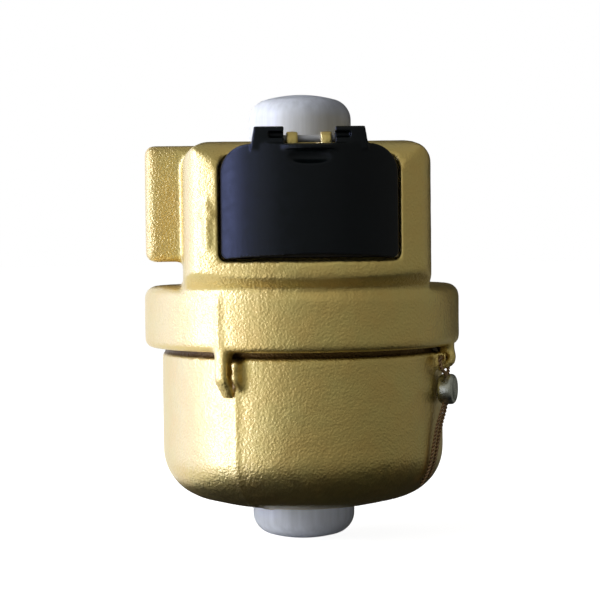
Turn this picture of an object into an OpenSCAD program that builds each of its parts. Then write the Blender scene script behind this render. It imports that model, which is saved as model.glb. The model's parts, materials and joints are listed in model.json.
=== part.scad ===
// Water meter: rotary piston, two brass castings screwed together along the pipe.
// Z runs up the pipe with the flow, X to the right of the lid, the lid faces -Y.
// The origin is the centre of the inlet end face. Sizes in mm.

/* [Pipe ends] */
// Length between the two threaded end faces
body_length = 115; // [105:0.5:130]
// Mean diameter of the G 3/4 B pipe thread
thread_d = 25.28; // [24:0.02:27]
// Chamfer at the mouth of each thread
thread_chamfer = 0.4; // [0.1:0.1:1]
// Diameter of the water way
bore_d = 15; // [12:0.5:18]
// Length of thread below the bowl
inlet_reach = 7; // [6:0.5:12]
// Length of thread above the head
outlet_reach = 9.5; // [8:0.5:14]

/* [Thread caps] */
// Room between mean thread diameter and cap, each side
cap_room = 0.81; // [0.7:0.01:1.2]
// Wall of a cap
cap_wall = 0.9; // [0.6:0.1:1.6]
// Air between pipe end and the middle of the cap's end wall
cap_end_room = 4; // [3.9:0.1:5]
// Thickness of the cap's end wall
cap_end_wall = 1; // [0.8:0.1:1.2]
// Rounding of the cap's outer edge
cap_corner_r = 6; // [4:0.5:6]
// Rounding inside the cap
cap_in_corner_r = 3.2; // [2.5:0.1:3.2]
// Radius of the cap's domed end
cap_dome_r = 36; // [34:1:60]
// Air between the cap's rim and the casting
cap_rim_gap = 0.5; // [0.3:0.1:1.5]

/* [Bowl] */
// Outer diameter of the bowl
bowl_d = 79; // [76:0.5:82]
// Wall of the bowl
bowl_wall = 4.6; // [3.5:0.1:5]
// Rounding between the side and the bottom
bowl_corner_r = 14; // [10:0.5:16]
// Rounding inside, between the side and the floor
bowl_in_corner_r = 7.4; // [5:0.2:9]
// Radius of the domed bottom
bowl_dome_r = 110; // [80:5:200]
// Thickness of the bowl's floor on the pipe axis
bowl_floor_t = 7.3; // [6.5:0.1:8]
// Depth of the pocket round the inlet thread
relief_h = 2.7; // [1:0.1:3]
// Radius of the pocket round the inlet thread
relief_r = 18; // [16:0.5:20]
// Step from the bowl down to its thread
bowl_neck_step = 0.9; // [0.4:0.1:1.5]
// Height of the groove left open under the band
bowl_groove_h = 2; // [1:0.1:3]
// Clearance of the thread between bowl and band, radial
body_thread_gap = 0.1; // [0.05:0.05:0.3]

/* [Band] */
// Outer diameter of the band
band_d = 88.6; // [86:0.2:94]
// Height of the band's lower edge above the inlet face
band_foot = 49.6; // [46:0.2:52]
// Height of the band
band_h = 17.1; // [15:0.1:20]
// Rounding of the band's lower edge
band_low_r = 2.2; // [1:0.1:3]
// Rounding of the band's upper edge
band_top_r = 3.5; // [1:0.1:5]
// Thickness of the shoulder at the top of the thread
shoulder_t = 3.2; // [2.5:0.1:4]
// Height of the raised parting line
parting_h = 0.35; // [0.1:0.05:0.6]
// Width of the raised parting line
parting_w = 0.7; // [0.4:0.1:1.2]

/* [Head] */
// Outer diameter of the barrel behind the register
barrel_d = 67; // [64:0.5:70]
// Radius of the crowned front
crown_r = 55; // [50:1:80]
// Distance of the crowned front from the pipe axis
crown_reach = 47; // [45:0.5:52]
// Rounding of the two front corners
tower_corner_r = 9; // [6:0.5:12]
// Sideways place of the front corners' centres
tower_corner_x = 24; // [22:0.5:27]
// Rounding of the head's upper corners, seen from the front
head_corner_r = 8; // [3:0.2:9]
// Rounding of the head's upper edge, seen from the side
head_edge_r = 4.5; // [2:0.5:8]
// Rounding of the brow beside the hinge, seen from the side
brow_r = 10; // [7:0.5:12]
// Distance of the brow behind the crowned front
brow_set = 5.4; // [4.5:0.1:6]

/* [Side boss] */
// Distance of the boss's outer face from the pipe axis
boss_reach = 43.6; // [38:0.2:46]
// Height of the boss
boss_h = 32; // [20:0.5:34]
// Distance of the boss's front face from the pipe axis
boss_front = 13; // [8:0.5:18]
// Depth of the boss, front to back
boss_depth = 25; // [16:0.5:30]
// Rounding of the boss's edges
boss_r = 2.7; // [1:0.1:4]

/* [Flow arrow] */
// Length of the raised arrow
arrow_l = 12.6; // [8:0.2:16]
// Width of the arrow's head
arrow_w = 4; // [2.5:0.1:5]
// Height of the arrow above the casting
arrow_h = 0.7; // [0.3:0.1:1.2]

/* [Lid] */
// Width of the lid
lid_w = 46.6; // [42:0.2:47]
// Height of the lid
lid_h = 30; // [28:0.2:31]
// Thickness of the lid
lid_t = 2.2; // [1.8:0.1:2.4]
// Rounding of the lid's upper corners
lid_corner_r = 7.7; // [4:0.1:10]
// Rounding of the lid's lower corners
lid_foot_r = 2; // [1:0.1:3]
// Hollow of the lid's lower edge
lid_foot_hollow = 1.2; // [0.4:0.1:2]
// Gap all round the lid
lid_gap = 0.5; // [0.3:0.05:0.8]
// Width of the thumb scoop
scoop_w = 13; // [10:0.5:16]
// Height of the thumb scoop
scoop_h = 3.8; // [3:0.1:4.5]
// Depth of the thumb scoop
scoop_depth = 1.4; // [0.8:0.1:1.6]
// How far the thumb lip stands out
lip_out = 1.6; // [0.8:0.1:2]
// Thickness of the thumb lip
lip_t = 1.1; // [0.8:0.1:1.6]

// Depth of the lid's recess below the crowned front
recess_depth = 8; // [7:0.1:9]

/* [Hinge] */
// Diameter of the hinge pin
hinge_pin_d = 2; // [1.6:0.1:2.4]
// Distance of the hinge behind the crowned front
hinge_set = 6; // [5:0.1:6.4]
// Running clearance of the lid on the pin, radial
hinge_run = 0.06; // [0.02:0.01:0.1]
// Width of each brass hinge lug
hinge_lug_w = 3.4; // [2.5:0.1:4]
// Gap between the two brass lugs
hinge_lug_span = 5.8; // [4:0.1:7]
// Radius of the rounded lugs
hinge_lug_r = 2; // [1.8:0.1:2.2]
// Side play between ear and lug
hinge_play = 0.4; // [0.2:0.05:0.6]
// Width of each ear of the lid
ear_w = 8.6; // [7:0.1:9.5]
// Radius of the ear's knuckle
ear_r = 2.4; // [2.2:0.1:2.6]
// Height of the ear above the pin
ear_rise = 3.1; // [2.6:0.1:3.4]
// Slant of the ear's outer edge
ear_slant = 0.9; // [0:0.1:1.5]
// Width of the slot in the ear
ear_slot_w = 4; // [2:0.1:5]
// Height of the slot in the ear
ear_slot_h = 1.7; // [1:0.1:2]

/* [Seal lugs] */
// Thickness of the left head lug
left_fin_t = 3.6; // [2.6:0.1:4]
// Thickness of the right head lug
fin_t = 2.6; // [2:0.1:3]
// Radius of the eye on the right head lug
eye_r = 3.2; // [2.6:0.1:3.4]
// Thickness of a bowl lug
tab_t = 2.2; // [1.6:0.1:2.6]
// Gap between head lug and bowl
fin_gap = 0.4; // [0.3:0.05:0.8]
// Diameter of the wire hole
seal_hole_d = 1.9; // [1.6:0.1:2.2]
// Place of the left lugs round the bowl, degrees from the front
fin_left = -33; // [-40:1:-25]
// Place of the right lugs round the bowl, degrees from the front
fin_right = 68; // [60:1:75]

/* [Lead seal and wire] */
// Diameter of the lead seal
seal_d = 8.4; // [7:0.1:10]
// Thickness of the lead seal
seal_t = 4.4; // [3:0.1:5]
// Diameter of the twisted wire
wire_d = 1.1; // [0.8:0.1:1.3]

/* [Measuring chamber] */
// Inside diameter of the measuring chamber
chamber_d = 58.6; // [54:0.2:59]
// Wall of the chamber
chamber_wall = 3.6; // [2.5:0.1:4]
// Height of the chamber below its flange
chamber_h = 35; // [28:0.5:37]
// Thickness of the chamber floor
chamber_floor = 3; // [2:0.1:4]
// Thickness of the chamber flange
flange_t = 1.6; // [1.2:0.1:2.5]
// Side clearance of the flange in the bowl
flange_gap = 0.2; // [0.1:0.05:0.4]
// Thickness of the chamber cover
cover_t = 2; // [1.5:0.1:3]
// Thickness of the ring that seals the cover
chamber_seal_t = 2; // [1:0.1:3]
// Thickness of the ring that seals the body
body_seal_t = 1.5; // [1:0.1:2]
// Height of the head's ring that holds the chamber down
clamp_h = 4.9; // [4:0.1:6]
// Thickness of the divider plate
divider_t = 1.5; // [1:0.1:2]

/* [Piston] */
// Orbit radius of the piston
piston_orbit = 4.2; // [3.5:0.1:4.4]
// Running gap of the piston in the chamber
piston_gap = 0.3; // [0.25:0.05:0.5]
// Wall of the piston
piston_wall = 2.5; // [1.5:0.1:3]
// Thickness of the piston's web
piston_web = 3; // [2:0.1:4]
// Diameter of the piston's lower pin
guide_pin_d = 4; // [3:0.1:4.4]
// Diameter of the piston's upper pin
drive_pin_d = 4.8; // [3.5:0.1:5]

/* [Magnets] */
// Diameter of the drive magnet
drive_magnet_d = 19; // [16:0.5:20]
// Height of the drive magnet
drive_magnet_h = 3.6; // [2.5:0.1:4]
// Diameter of the follower magnet
follower_magnet_d = 15.2; // [12:0.1:15.6]
// Height of the follower magnet
follower_magnet_h = 3; // [2:0.1:3.4]
// Diameter of the drive spindle
spindle_d = 4; // [3:0.1:4.4]
// Running clearance of the spindles, radial
spindle_run = 0.06; // [0.02:0.01:0.1]

/* [Register] */
// Inside width of the register case
case_in_w = 41.4; // [41:0.1:42]
// Wall of the register case
case_wall = 1.2; // [1:0.1:1.4]
// Gap between register case and casting
case_gap = 0.25; // [0.1:0.05:0.4]
// Thickness of the window
glass_t = 2; // [1.5:0.1:2.5]
// Thickness of the window's gasket
gasket_t = 1; // [0.8:0.1:1.5]
// Thickness of the bezel
bezel_t = 1.2; // [1:0.1:1.5]
// Width of the bezel's border
bezel_w = 2.6; // [2:0.1:4]
// Thickness of the dial
dial_t = 0.8; // [0.5:0.1:1]
// Diameter of the number drums
drum_d = 11; // [10:0.1:11.1]
// Spacing of the number drums
drum_pitch = 4; // [3.8:0.05:4.05]
// Width of a number drum
drum_w = 3.7; // [3:0.1:3.75]
// Diameter of the drum shaft
drum_shaft_d = 2.4; // [1.6:0.1:2.8]
// Diameter of the gear shafts
gear_shaft_d = 2; // [1.4:0.1:2.2]
// Module of the gears
gear_m = 0.8; // [0.78:0.01:0.82]

/* [Strainer] */
// Width of the strainer's slots
strainer_slot = 2.2; // [1:0.1:3]
// Wall of the strainer basket
strainer_wall = 1; // [0.8:0.1:1.4]

/* [Hidden] */
$fn = 96;
eps = 0.01;

thread_r = thread_d / 2;
bore_r = bore_d / 2;
head_top = body_length - outlet_reach;

// Bowl
bowl_r = bowl_d / 2;
bowl_in_r = bowl_r - bowl_wall;
// Lap that makes two nearly tangent arcs cross, and height of the flat in the middle of a dome
arc_lap = 0.02;
bowl_foot = inlet_reach - relief_h - bowl_dome_r + sqrt(pow(bowl_dome_r, 2) - pow(thread_r, 2));
floor_z = bowl_foot + bowl_floor_t;
floor_dome_r = bowl_dome_r - bowl_wall;
neck_r = bowl_r - bowl_neck_step;
neck_z = band_foot - bowl_groove_h;

// Band and the stack clamped inside it
band_r = band_d / 2;
band_top = band_foot + band_h;
seat_z = band_top - shoulder_t;
rim_z = seat_z - body_seal_t;
clamp_foot = seat_z - clamp_h;
cover_top = clamp_foot - chamber_seal_t;
cover_foot = cover_top - cover_t;
ledge_z = cover_foot - flange_t;
counterbore_r = bowl_in_r + 1.2;
flange_r = counterbore_r - flange_gap;
clamp_r = counterbore_r - 0.6;
wet_r = clamp_r - 4.6;
wet_top = seat_z + 1.1;

// Measuring chamber and piston
chamber_r = chamber_d / 2;
chamber_out_r = chamber_r + chamber_wall;
chamber_foot = ledge_z - chamber_h;
chamber_base = chamber_foot + chamber_floor;
piston_r = chamber_r - piston_orbit - piston_gap;
piston_in_r = piston_r - piston_wall;
hub_r = piston_in_r - piston_orbit - piston_gap;
hub_wall = 2.2;
piston_foot = chamber_base + piston_gap;
piston_top = cover_foot - piston_gap;
web_foot = piston_top - piston_web;
hub_top = web_foot - piston_gap;
guide_post_r = piston_orbit - guide_pin_d / 2 - piston_gap;
piston_slot = 2 * (piston_orbit + piston_gap) + divider_t;
cover_hole_r = piston_orbit + drive_pin_d / 2 + 0.4;

// Drive
dog_foot = cover_top + 0.6;
dog_top = dog_foot + 2.8;
dog_r = piston_orbit + drive_pin_d / 2 + 1.8;
bearing_foot = dog_top + 1.5;
bearing_top = wet_top - 0.6;
carrier_foot = bearing_top + 1;
magnet_foot = carrier_foot + 2;
magnet_top = magnet_foot + drive_magnet_h;
magnet_hub_r = 3;
pocket_r = drive_magnet_d / 2 + 1.5;
pocket_top = magnet_top + 1.1;

// Register
case_x = case_in_w / 2;
case_out_x = case_x + case_wall;
well_x = case_out_x + case_gap;
well_foot = pocket_top + 3;
case_foot = well_foot + case_gap;
case_in_foot = case_foot + case_wall;
hinge_z = head_top + 0.1;
hinge_reach = crown_reach - hinge_set;
notch_z = hinge_z - ear_r - 0.4;
well_top = notch_z - 1.8;
case_top = well_top - case_gap;
case_in_top = case_top - case_wall;
nose_in_x = 12;
nose_x = nose_in_x + case_wall;
nose_in_back = 8.8;
nose_back = nose_in_back + case_wall;
nose_in_top = case_in_foot + 10.4;
nose_top = nose_in_top + case_wall;
recess_y = recess_depth - crown_reach;
bezel_front = recess_y + 0.3;
glass_front = bezel_front + bezel_t;
gasket_front = glass_front + glass_t;
case_front = gasket_front + gasket_t;
dial_front = case_front + 0.6;
dial_back = dial_front + dial_t;

// Gears: pinion on the follower, idler, gear on the worm shaft, wheel on the drum shaft
pinion_n = 10;
idler_n = 16;
driven_n = 14;
wheel_n = 16;
pinion_r = gear_m * pinion_n / 2;
idler_r = gear_m * idler_n / 2;
driven_r = gear_m * driven_n / 2;
wheel_r = gear_m * wheel_n / 2;
worm_pitch_r = 3.2;
worm_lead = PI * gear_m;
worm_x = 13.5;
wheel_tip_r = wheel_r + 0.9 * gear_m;
drum_gap = 0.4;
drum_z = 91;
gear_foot = case_in_foot + 4.8;
gear_w = 2;
gear_top = gear_foot + gear_w;
frame_foot = gear_top + 1;
frame_t = 1.4;
frame_top = frame_foot + frame_t;
gear_shaft_r = gear_shaft_d / 2;
gear_bore_r = gear_shaft_r + spindle_run;
drum_r = drum_d / 2;
drum_shaft_r = drum_shaft_d / 2;
drum_count = 8;
wheel_w = 2.5;
first_drum_x = worm_x - wheel_w / 2 - 0.15 - drum_w;
journal = 0.6;

// The worm stands behind the drums, as far forward as the idler can reach
reach_a = pinion_r + idler_r;
reach_b = idler_r + driven_r;
idler_limit = sqrt(pow(reach_a + reach_b - 0.2, 2) - pow(worm_x, 2));
worm_y = max(dial_back + drum_gap + max(drum_r, wheel_tip_r) + wheel_r + worm_pitch_r, -idler_limit);
drum_y = worm_y - worm_pitch_r - wheel_r;

// The case is as deep as the gear on the worm shaft needs
case_in_back = worm_y + driven_r + 0.9 * gear_m + 0.4;
case_back = case_in_back + case_wall;
well_back = case_back + case_gap;

// The idler stands where it meets both neighbours
reach_c = norm([worm_x, worm_y]);
along = (pow(reach_a, 2) - pow(reach_b, 2) + pow(reach_c, 2)) / (2 * reach_c);
aside = sqrt(pow(reach_a, 2) - pow(along, 2));
idler_x = (along * worm_x + aside * worm_y) / reach_c;
idler_y = (along * worm_y - aside * worm_x) / reach_c;

// Turn of each gear so that teeth meet gaps
face_idler = atan2(idler_y, idler_x);
idler_turn = face_idler + 180 + 180 / idler_n;
face_driven = atan2(worm_y - idler_y, worm_x - idler_x);
idler_step = 360 / idler_n;
idler_off = face_driven - idler_turn - idler_step * floor((face_driven - idler_turn) / idler_step);
driven_turn = face_driven + 180 + idler_off * idler_n / driven_n + 180 / driven_n;

// Seal lugs: how far each pair hangs below the band, at its outer edge and at the bowl
fin_in_r = bowl_r + fin_gap;
tab_r = bowl_r + 3.2;
hole_r = bowl_r + 2.1;
fin_out_r = max(band_r - 0.1, hole_r + seal_hole_d / 2 + 1.2);
fin_root_r = neck_r + body_thread_gap;
fin_root_h = 2;
left_drop = 7.3;
left_tip = 12.9;
right_drop = 4.4;
right_tip = 7.6;
left_hole_z = 44.5;
right_hole_z = 46.5;
left_tab_shift = left_fin_t / 2 + fin_gap + tab_t / 2;
tab_shift = fin_t / 2 + fin_gap + tab_t / 2;

// Lead seal
seal_r = bowl_r + 0.6 + seal_t / 2;
seal_z = 37.6;

// Route of the wire: both tails and the loop through the right lugs, as [along, out, up]
wire_local = [
    [-7.2, 36.5, 11.8], [-7.5, 38.3, 15], [-7.3, 39.5, 19], [-6.4, 40.1, 23.5], [-4.7, 40.6, 28],
    [-2.7, 41.4, 32], [-1.1, 42.1, 35.5], [-0.8, 42.2, 39], [-1.2, 42.2, 41.6], [-2.4, 42.1, 42.4],
    [-4.3, 42, 43.1], [-5.2, 41.8, 44.3], [-5.4, 41.6, 45.6], [-4.8, 41.6, 46.4], [-3.4, 41.6, 46.5],
    [-1, 41.6, 46.5], [0.9, 41.6, 46.5], [2.1, 41.6, 46.4], [2.8, 41.6, 45.6], [2.7, 41.8, 44.3],
    [2.1, 42, 42.8], [1.1, 42.2, 41.4], [0.8, 42.2, 39], [0.6, 42.1, 35.5], [-0.9, 41.8, 32],
    [-2.9, 41.2, 28], [-4.6, 40.7, 23.5], [-5.6, 40.1, 19], [-5.6, 39, 15.5], [-5.2, 37.9, 13.2]
];
seal_out = [sin(fin_right), -cos(fin_right), 0];
seal_along = [cos(fin_right), sin(fin_right), 0];
wire_route = [for (p = wire_local) p[1] * seal_out + p[0] * seal_along + [0, 0, p[2]]];

// Lid
lid_top = head_top - 1.3;
lid_foot = lid_top - lid_h;
crown_y = crown_r - crown_reach;
tower_corner_y = crown_y - sqrt(pow(crown_r - tower_corner_r, 2) - pow(tower_corner_x, 2));
ear_in_x = hinge_lug_span / 2 + hinge_lug_w + hinge_play;
ear_out_x = ear_in_x + ear_w;
hinge_half = ear_out_x - ear_slant;

// Rectangle with round corners, from (x0, y0) to (x1, y1)
module rounded(x0, y0, x1, y1, r) {
    translate([x0 + r, y0]) square([x1 - x0 - 2 * r, y1 - y0]);
    translate([x0, y0 + r]) square([x1 - x0, y1 - y0 - 2 * r]);
    for (x = [x0 + r, x1 - r], y = [y0 + r, y1 - r])
        translate([x, y]) circle(r);
}

// A flat shape drawn in X and Z, given depth from y0 to y1
module along_y(y0, y1) {
    translate([0, y1, 0]) rotate([90, 0, 0]) linear_extrude(y1 - y0) children();
}

// A flat shape drawn in Y and Z, given width from x0 to x1
module along_x(x0, x1) {
    translate([x0, 0, 0]) rotate([90, 0, 90]) linear_extrude(x1 - x0) children();
}

// A flat shape drawn in X and Y, given height from z0 to z1
module along_z(z0, z1) {
    translate([0, 0, z0]) linear_extrude(z1 - z0) children();
}

module disc(r, z0, z1) {
    translate([0, 0, z0]) cylinder(r = r, h = z1 - z0);
}

module ring(r_out, r_in, z0, z1) {
    difference() {
        disc(r_out, z0, z1);
        disc(r_in, z0 - 1, z1 + 1);
    }
}

module block(x0, y0, z0, x1, y1, z1) {
    translate([x0, y0, z0]) cube([x1 - x0, y1 - y0, z1 - z0]);
}

// A bar along X, at the given y and z
module bar_x(r, x0, x1, y, z) {
    translate([x0, y, z]) rotate([0, 90, 0]) cylinder(r = r, h = x1 - x0);
}

// Turns its children round the pipe axis, degrees from the front towards the right
module round_pipe(a) {
    rotate([0, 0, a]) children();
}

// Half section of a round cup: side at r, rounded corner, domed bottom with a small flat at foot
module cup_section(r, corner, dome, foot, top) {
    at_r = r - corner;
    mid_z = foot + dome - arc_lap;
    at_z = mid_z - sqrt(pow(dome - corner, 2) - pow(at_r, 2)) - arc_lap;
    meet_r = at_r * dome / (dome - corner);
    low_h = at_z - foot + 0.5;
    translate([0, at_z]) square([r, top - at_z]);
    intersection() {
        translate([at_r, at_z]) circle(corner);
        translate([0, foot]) square([r + 1, low_h]);
    }
    intersection() {
        translate([0, mid_z]) circle(dome, $fn = 360);
        translate([0, foot]) square([meet_r, low_h]);
    }
}

// Raised line left by the mould, on one side of a turned shape
module parting_line(a) {
    round_pipe(a) intersection() {
        children();
        block(-parting_w / 2, -60, -20, parting_w / 2, -relief_r - 1, 140);
    }
}

// Gusset seen from the side: out to r1, down to low at its edge and to tip at the bowl, rooted in its casting
module lug_plate(a, shift, t, r0, r1, top, low, tip, hole_z, root_r, root_h, eye = 0) {
    round_pipe(a) difference() {
        along_x(shift - t / 2, shift + t / 2) union() {
            polygon([
                [-root_r, top], [-root_r, top + root_h], [-r1, top + root_h],
                [-r1, low], [-r0, tip], [-r0, top]
            ]);
            if (eye > 0) intersection() {
                translate([-hole_r, hole_z]) circle(eye);
                translate([-r1 - eye, tip]) square([r1 + eye - r0, top + root_h - tip]);
            }
        }
        bar_x(seal_hole_d / 2, shift - t, shift + t, -hole_r, hole_z);
    }
}

module bowl_casting() {
    color([0.72, 0.58, 0.30]) difference() {
        union() {
            difference() {
                rotate_extrude() cup_section(bowl_r, bowl_corner_r, bowl_dome_r, bowl_foot, neck_z);
                disc(relief_r, bowl_foot - 1, inlet_reach);
            }
            disc(neck_r, neck_z - 5, rim_z);
            disc(thread_r, thread_chamfer, inlet_reach + 3);
            cylinder(r1 = thread_r - thread_chamfer, r2 = thread_r, h = thread_chamfer);
            parting_line(fin_left + 3) rotate_extrude()
                cup_section(bowl_r + parting_h, bowl_corner_r + parting_h, bowl_dome_r + parting_h,
                    bowl_foot - parting_h, neck_z - 2);
            lug_plate(fin_left, left_tab_shift, tab_t, bowl_r - 1, tab_r, neck_z - 0.2, band_foot - left_drop,
                band_foot - left_tip + 1.5, left_hole_z, bowl_r - 1, 0);
            lug_plate(fin_right, -tab_shift, tab_t, bowl_r - 1, tab_r, neck_z + 0.6,
                band_foot - right_drop, band_foot - right_tip, right_hole_z, bowl_r - 1, 0);
        }
        rotate_extrude() cup_section(bowl_in_r, bowl_in_corner_r, floor_dome_r, floor_z, rim_z + 1);
        disc(counterbore_r, ledge_z, rim_z + 1);
        disc(bore_r, -1, floor_z + 3);
    }
}

// Section of the head across the pipe: round behind, two front corners, crowned front
module head_section() {
    blend = 0.05;
    barrel_r = barrel_d / 2;
    side = atan2(-tower_corner_y, tower_corner_x);
    gap = norm([tower_corner_x, tower_corner_y]);
    a = acos((barrel_r - tower_corner_r) / gap) - side;
    near = [cos(a), sin(a)];
    meet = 1.05 * crown_r / (crown_r - tower_corner_r);
    edge = [tower_corner_x * meet, crown_y + (tower_corner_y - crown_y) * meet];
    back = near * (barrel_r - blend);
    front = [tower_corner_x, tower_corner_y] + near * tower_corner_r;
    intersection() {
        union() {
            circle(barrel_r);
            for (s = [-1, 1])
                translate([s * tower_corner_x, tower_corner_y]) circle(tower_corner_r + blend);
            polygon([
                [-back[0], back[1]], back, front, [tower_corner_x, tower_corner_y], edge,
                [0, -crown_reach - 14], [-edge[0], edge[1]], [-tower_corner_x, tower_corner_y],
                [-front[0], front[1]]
            ]);
        }
        translate([0, crown_y]) circle(crown_r, $fn = 180);
    }
}

// Tower of the head, rounded at the top in both side views and undercut towards the band
module head_tower() {
    half = max(barrel_d / 2, tower_corner_x + tower_corner_r) + 0.1;
    foot = band_top - 4;
    intersection() {
        along_z(foot, head_top) head_section();
        along_y(-60, 60) rounded(-half, foot - 20, half, head_top, head_corner_r);
        along_x(-60, 60) rounded(-crown_reach - 1, foot - 20, half, head_top, head_edge_r);
        rotate_extrude() polygon([
            [0, foot - 1], [band_r - 1, foot - 1], [band_r - 1, band_top - 0.6],
            [crown_r, band_top + 10], [crown_r, head_top + 1], [0, head_top + 1]
        ]);
    }
}

// Cut that rounds the brow on both sides of the hinge lugs
module brow_cut() {
    front = crown_reach - brow_set;
    foot = head_top - brow_r;
    inner = ear_in_x - hinge_play / 2;
    outer = barrel_d / 2 + 5;
    for (x0 = [-outer, inner]) along_x(x0, x0 + outer - inner) difference() {
        translate([-front - 20, foot]) square([20 + brow_r, brow_r + 5]);
        translate([brow_r - front, foot]) circle(brow_r);
    }
}

// Raised boss on the left, rounded in all three views
module side_boss() {
    foot = head_top - boss_h;
    back = boss_depth - boss_front;
    intersection() {
        along_y(-boss_front, back) rounded(-boss_reach, foot, 0, head_top, boss_r);
        along_x(-boss_reach, -20) rounded(-boss_front, foot, back, head_top, boss_r);
        along_z(foot, head_top) rounded(-boss_reach, -boss_front, 0, back, boss_r);
    }
}

module band_section(grow) {
    difference() {
        union() {
            translate([0, band_foot + band_low_r])
                square([band_r + grow, band_h - band_low_r - band_top_r]);
            translate([0, band_foot]) square([band_r - band_low_r, band_low_r + eps]);
            translate([0, band_top - band_top_r - eps]) square([band_r - band_top_r, band_top_r + eps]);
            translate([band_r - band_low_r, band_foot + band_low_r]) circle(band_low_r + grow);
            translate([band_r - band_top_r, band_top - band_top_r]) circle(band_top_r + grow);
        }
        translate([-10, 0]) square([10, 200]);
    }
}

// Shape of the lid from the front, or of its recess when grown
module lid_shape(grow) {
    half = lid_w / 2 + grow;
    translate([-half, lid_foot - grow + lid_foot_r])
        square([2 * half, lid_h + 2 * grow - lid_foot_r - lid_corner_r]);
    translate([-half + lid_corner_r, lid_top + grow - lid_corner_r - eps])
        square([2 * (half - lid_corner_r), lid_corner_r + eps]);
    translate([-half + lid_foot_r, lid_foot - grow]) square([2 * (half - lid_foot_r), lid_foot_r + eps]);
    for (s = [-1, 1]) {
        translate([s * (half - lid_corner_r), lid_top + grow - lid_corner_r]) circle(lid_corner_r);
        translate([s * (half - lid_foot_r), lid_foot - grow + lid_foot_r]) circle(lid_foot_r);
    }
}

module flow_arrow() {
    w = arrow_w / 2;
    tip = lid_foot + 3.2 + arrow_l;
    head_l = arrow_w * 1.1;
    stem = arrow_w * 0.18;
    translate([0, crown_y, 0]) rotate([0, 0, -29.2]) intersection() {
        along_y(-crown_r - 5, -crown_r + 3) polygon([
            [0, tip], [-w, tip - head_l], [-stem, tip - head_l], [-stem, tip - arrow_l],
            [stem, tip - arrow_l], [stem, tip - head_l], [w, tip - head_l]
        ]);
        along_z(0, 140) circle(crown_r + arrow_h, $fn = 180);
    }
}

module hinge_lugs() {
    for (s = [-1, 1]) {
        x0 = s > 0 ? hinge_lug_span / 2 : -hinge_lug_span / 2 - hinge_lug_w;
        along_x(x0, x0 + hinge_lug_w) union() {
            translate([-hinge_reach, hinge_z]) circle(hinge_lug_r);
            translate([-hinge_reach - hinge_lug_r, notch_z - 1])
                square([2 * hinge_lug_r + 1, hinge_z - notch_z + 1]);
        }
    }
}

// Way of the water through the head: behind the register, then up to the outlet
module water_way() {
    back_r = barrel_d / 2 - 4.2;
    wall_y = nose_back + case_gap + 3;
    turn_z = nose_top + 5;
    disc(wet_r, clamp_foot - 1, wet_top);
    disc(pocket_r, wet_top - 1, pocket_top);
    along_z(wet_top - 1, turn_z) intersection() {
        circle(back_r);
        translate([-back_r, wall_y]) square([2 * back_r, back_r]);
    }
    low = [0, back_r - bore_r - 1, turn_z - 4];
    high = [0, 0, head_top + 1];
    tilt = atan2(low[1], high[2] - low[2]);
    translate(low) rotate([tilt, 0, 0]) cylinder(r = bore_r, h = norm(high - low));
    translate(high) sphere(bore_r + 0.4);
    disc(bore_r, head_top + 1, body_length + 1);
}

module register_well() {
    block(-well_x, -80, well_foot, well_x, well_back, well_top);
    block(-nose_x - case_gap, well_back - 1, well_foot, nose_x + case_gap, nose_back + case_gap,
        nose_top + case_gap);
}

module head_casting() {
    color([0.74, 0.60, 0.31]) difference() {
        union() {
            difference() {
                union() {
                    rotate_extrude() band_section(0);
                    parting_line(fin_left) rotate_extrude() band_section(parting_h);
                    head_tower();
                    side_boss();
                    flow_arrow();
                    disc(thread_r, head_top - 5, body_length - thread_chamfer);
                    translate([0, 0, body_length - thread_chamfer])
                        cylinder(r1 = thread_r, r2 = thread_r - thread_chamfer, h = thread_chamfer);
                }
                disc(neck_r + body_thread_gap, band_foot - 1, seat_z);
                along_y(-80, recess_y) lid_shape(lid_gap);
                along_y(-80, -hinge_reach - 0.2) translate([-lid_w / 2 - lid_gap, lid_top - lid_corner_r])
                    square([lid_w + 2 * lid_gap, 20]);
                brow_cut();
                block(-ear_out_x - 1, -80, notch_z, ear_out_x + 1, -hinge_reach + ear_rise + 0.5,
                    head_top + 5);
            }
            ring(clamp_r, wet_r, clamp_foot, seat_z + 1);
            hinge_lugs();
            lug_plate(fin_left, 0, left_fin_t, fin_in_r, fin_out_r, band_foot + 1, band_foot - left_drop,
                band_foot - left_tip, left_hole_z, fin_root_r, fin_root_h);
            lug_plate(fin_right, 0, fin_t, fin_in_r, fin_out_r, band_foot + 1, band_foot - right_drop,
                band_foot - right_tip, right_hole_z, fin_root_r, fin_root_h, eye_r);
        }
        water_way();
        register_well();
        bar_x(hinge_pin_d / 2, -ear_out_x, ear_out_x, -hinge_reach, hinge_z);
    }
}

module body_seal() {
    color([0.08, 0.08, 0.08]) ring(neck_r - 0.2, counterbore_r + 0.2, rim_z, seat_z);
}

module chamber_seal() {
    color([0.10, 0.10, 0.10]) ring(clamp_r - 0.2, wet_r + 0.2, cover_top, clamp_foot);
}

// Basket with long slots in the floor of the bowl
module inlet_strainer() {
    r = bore_r + 2.4;
    half = strainer_slot / 2;
    foot = floor_z + floor_dome_r - sqrt(pow(floor_dome_r, 2) - pow(r, 2));
    top = chamber_foot;
    color([0.85, 0.84, 0.78]) difference() {
        union() {
            ring(r, r - strainer_wall, foot, top);
            disc(r, top - strainer_wall, top);
        }
        for (a = [0:30:330])
            rotate([0, 0, a]) block(r - 2, -half, foot + 1.2, r + 1, half, top - 1.6);
    }
}

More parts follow.
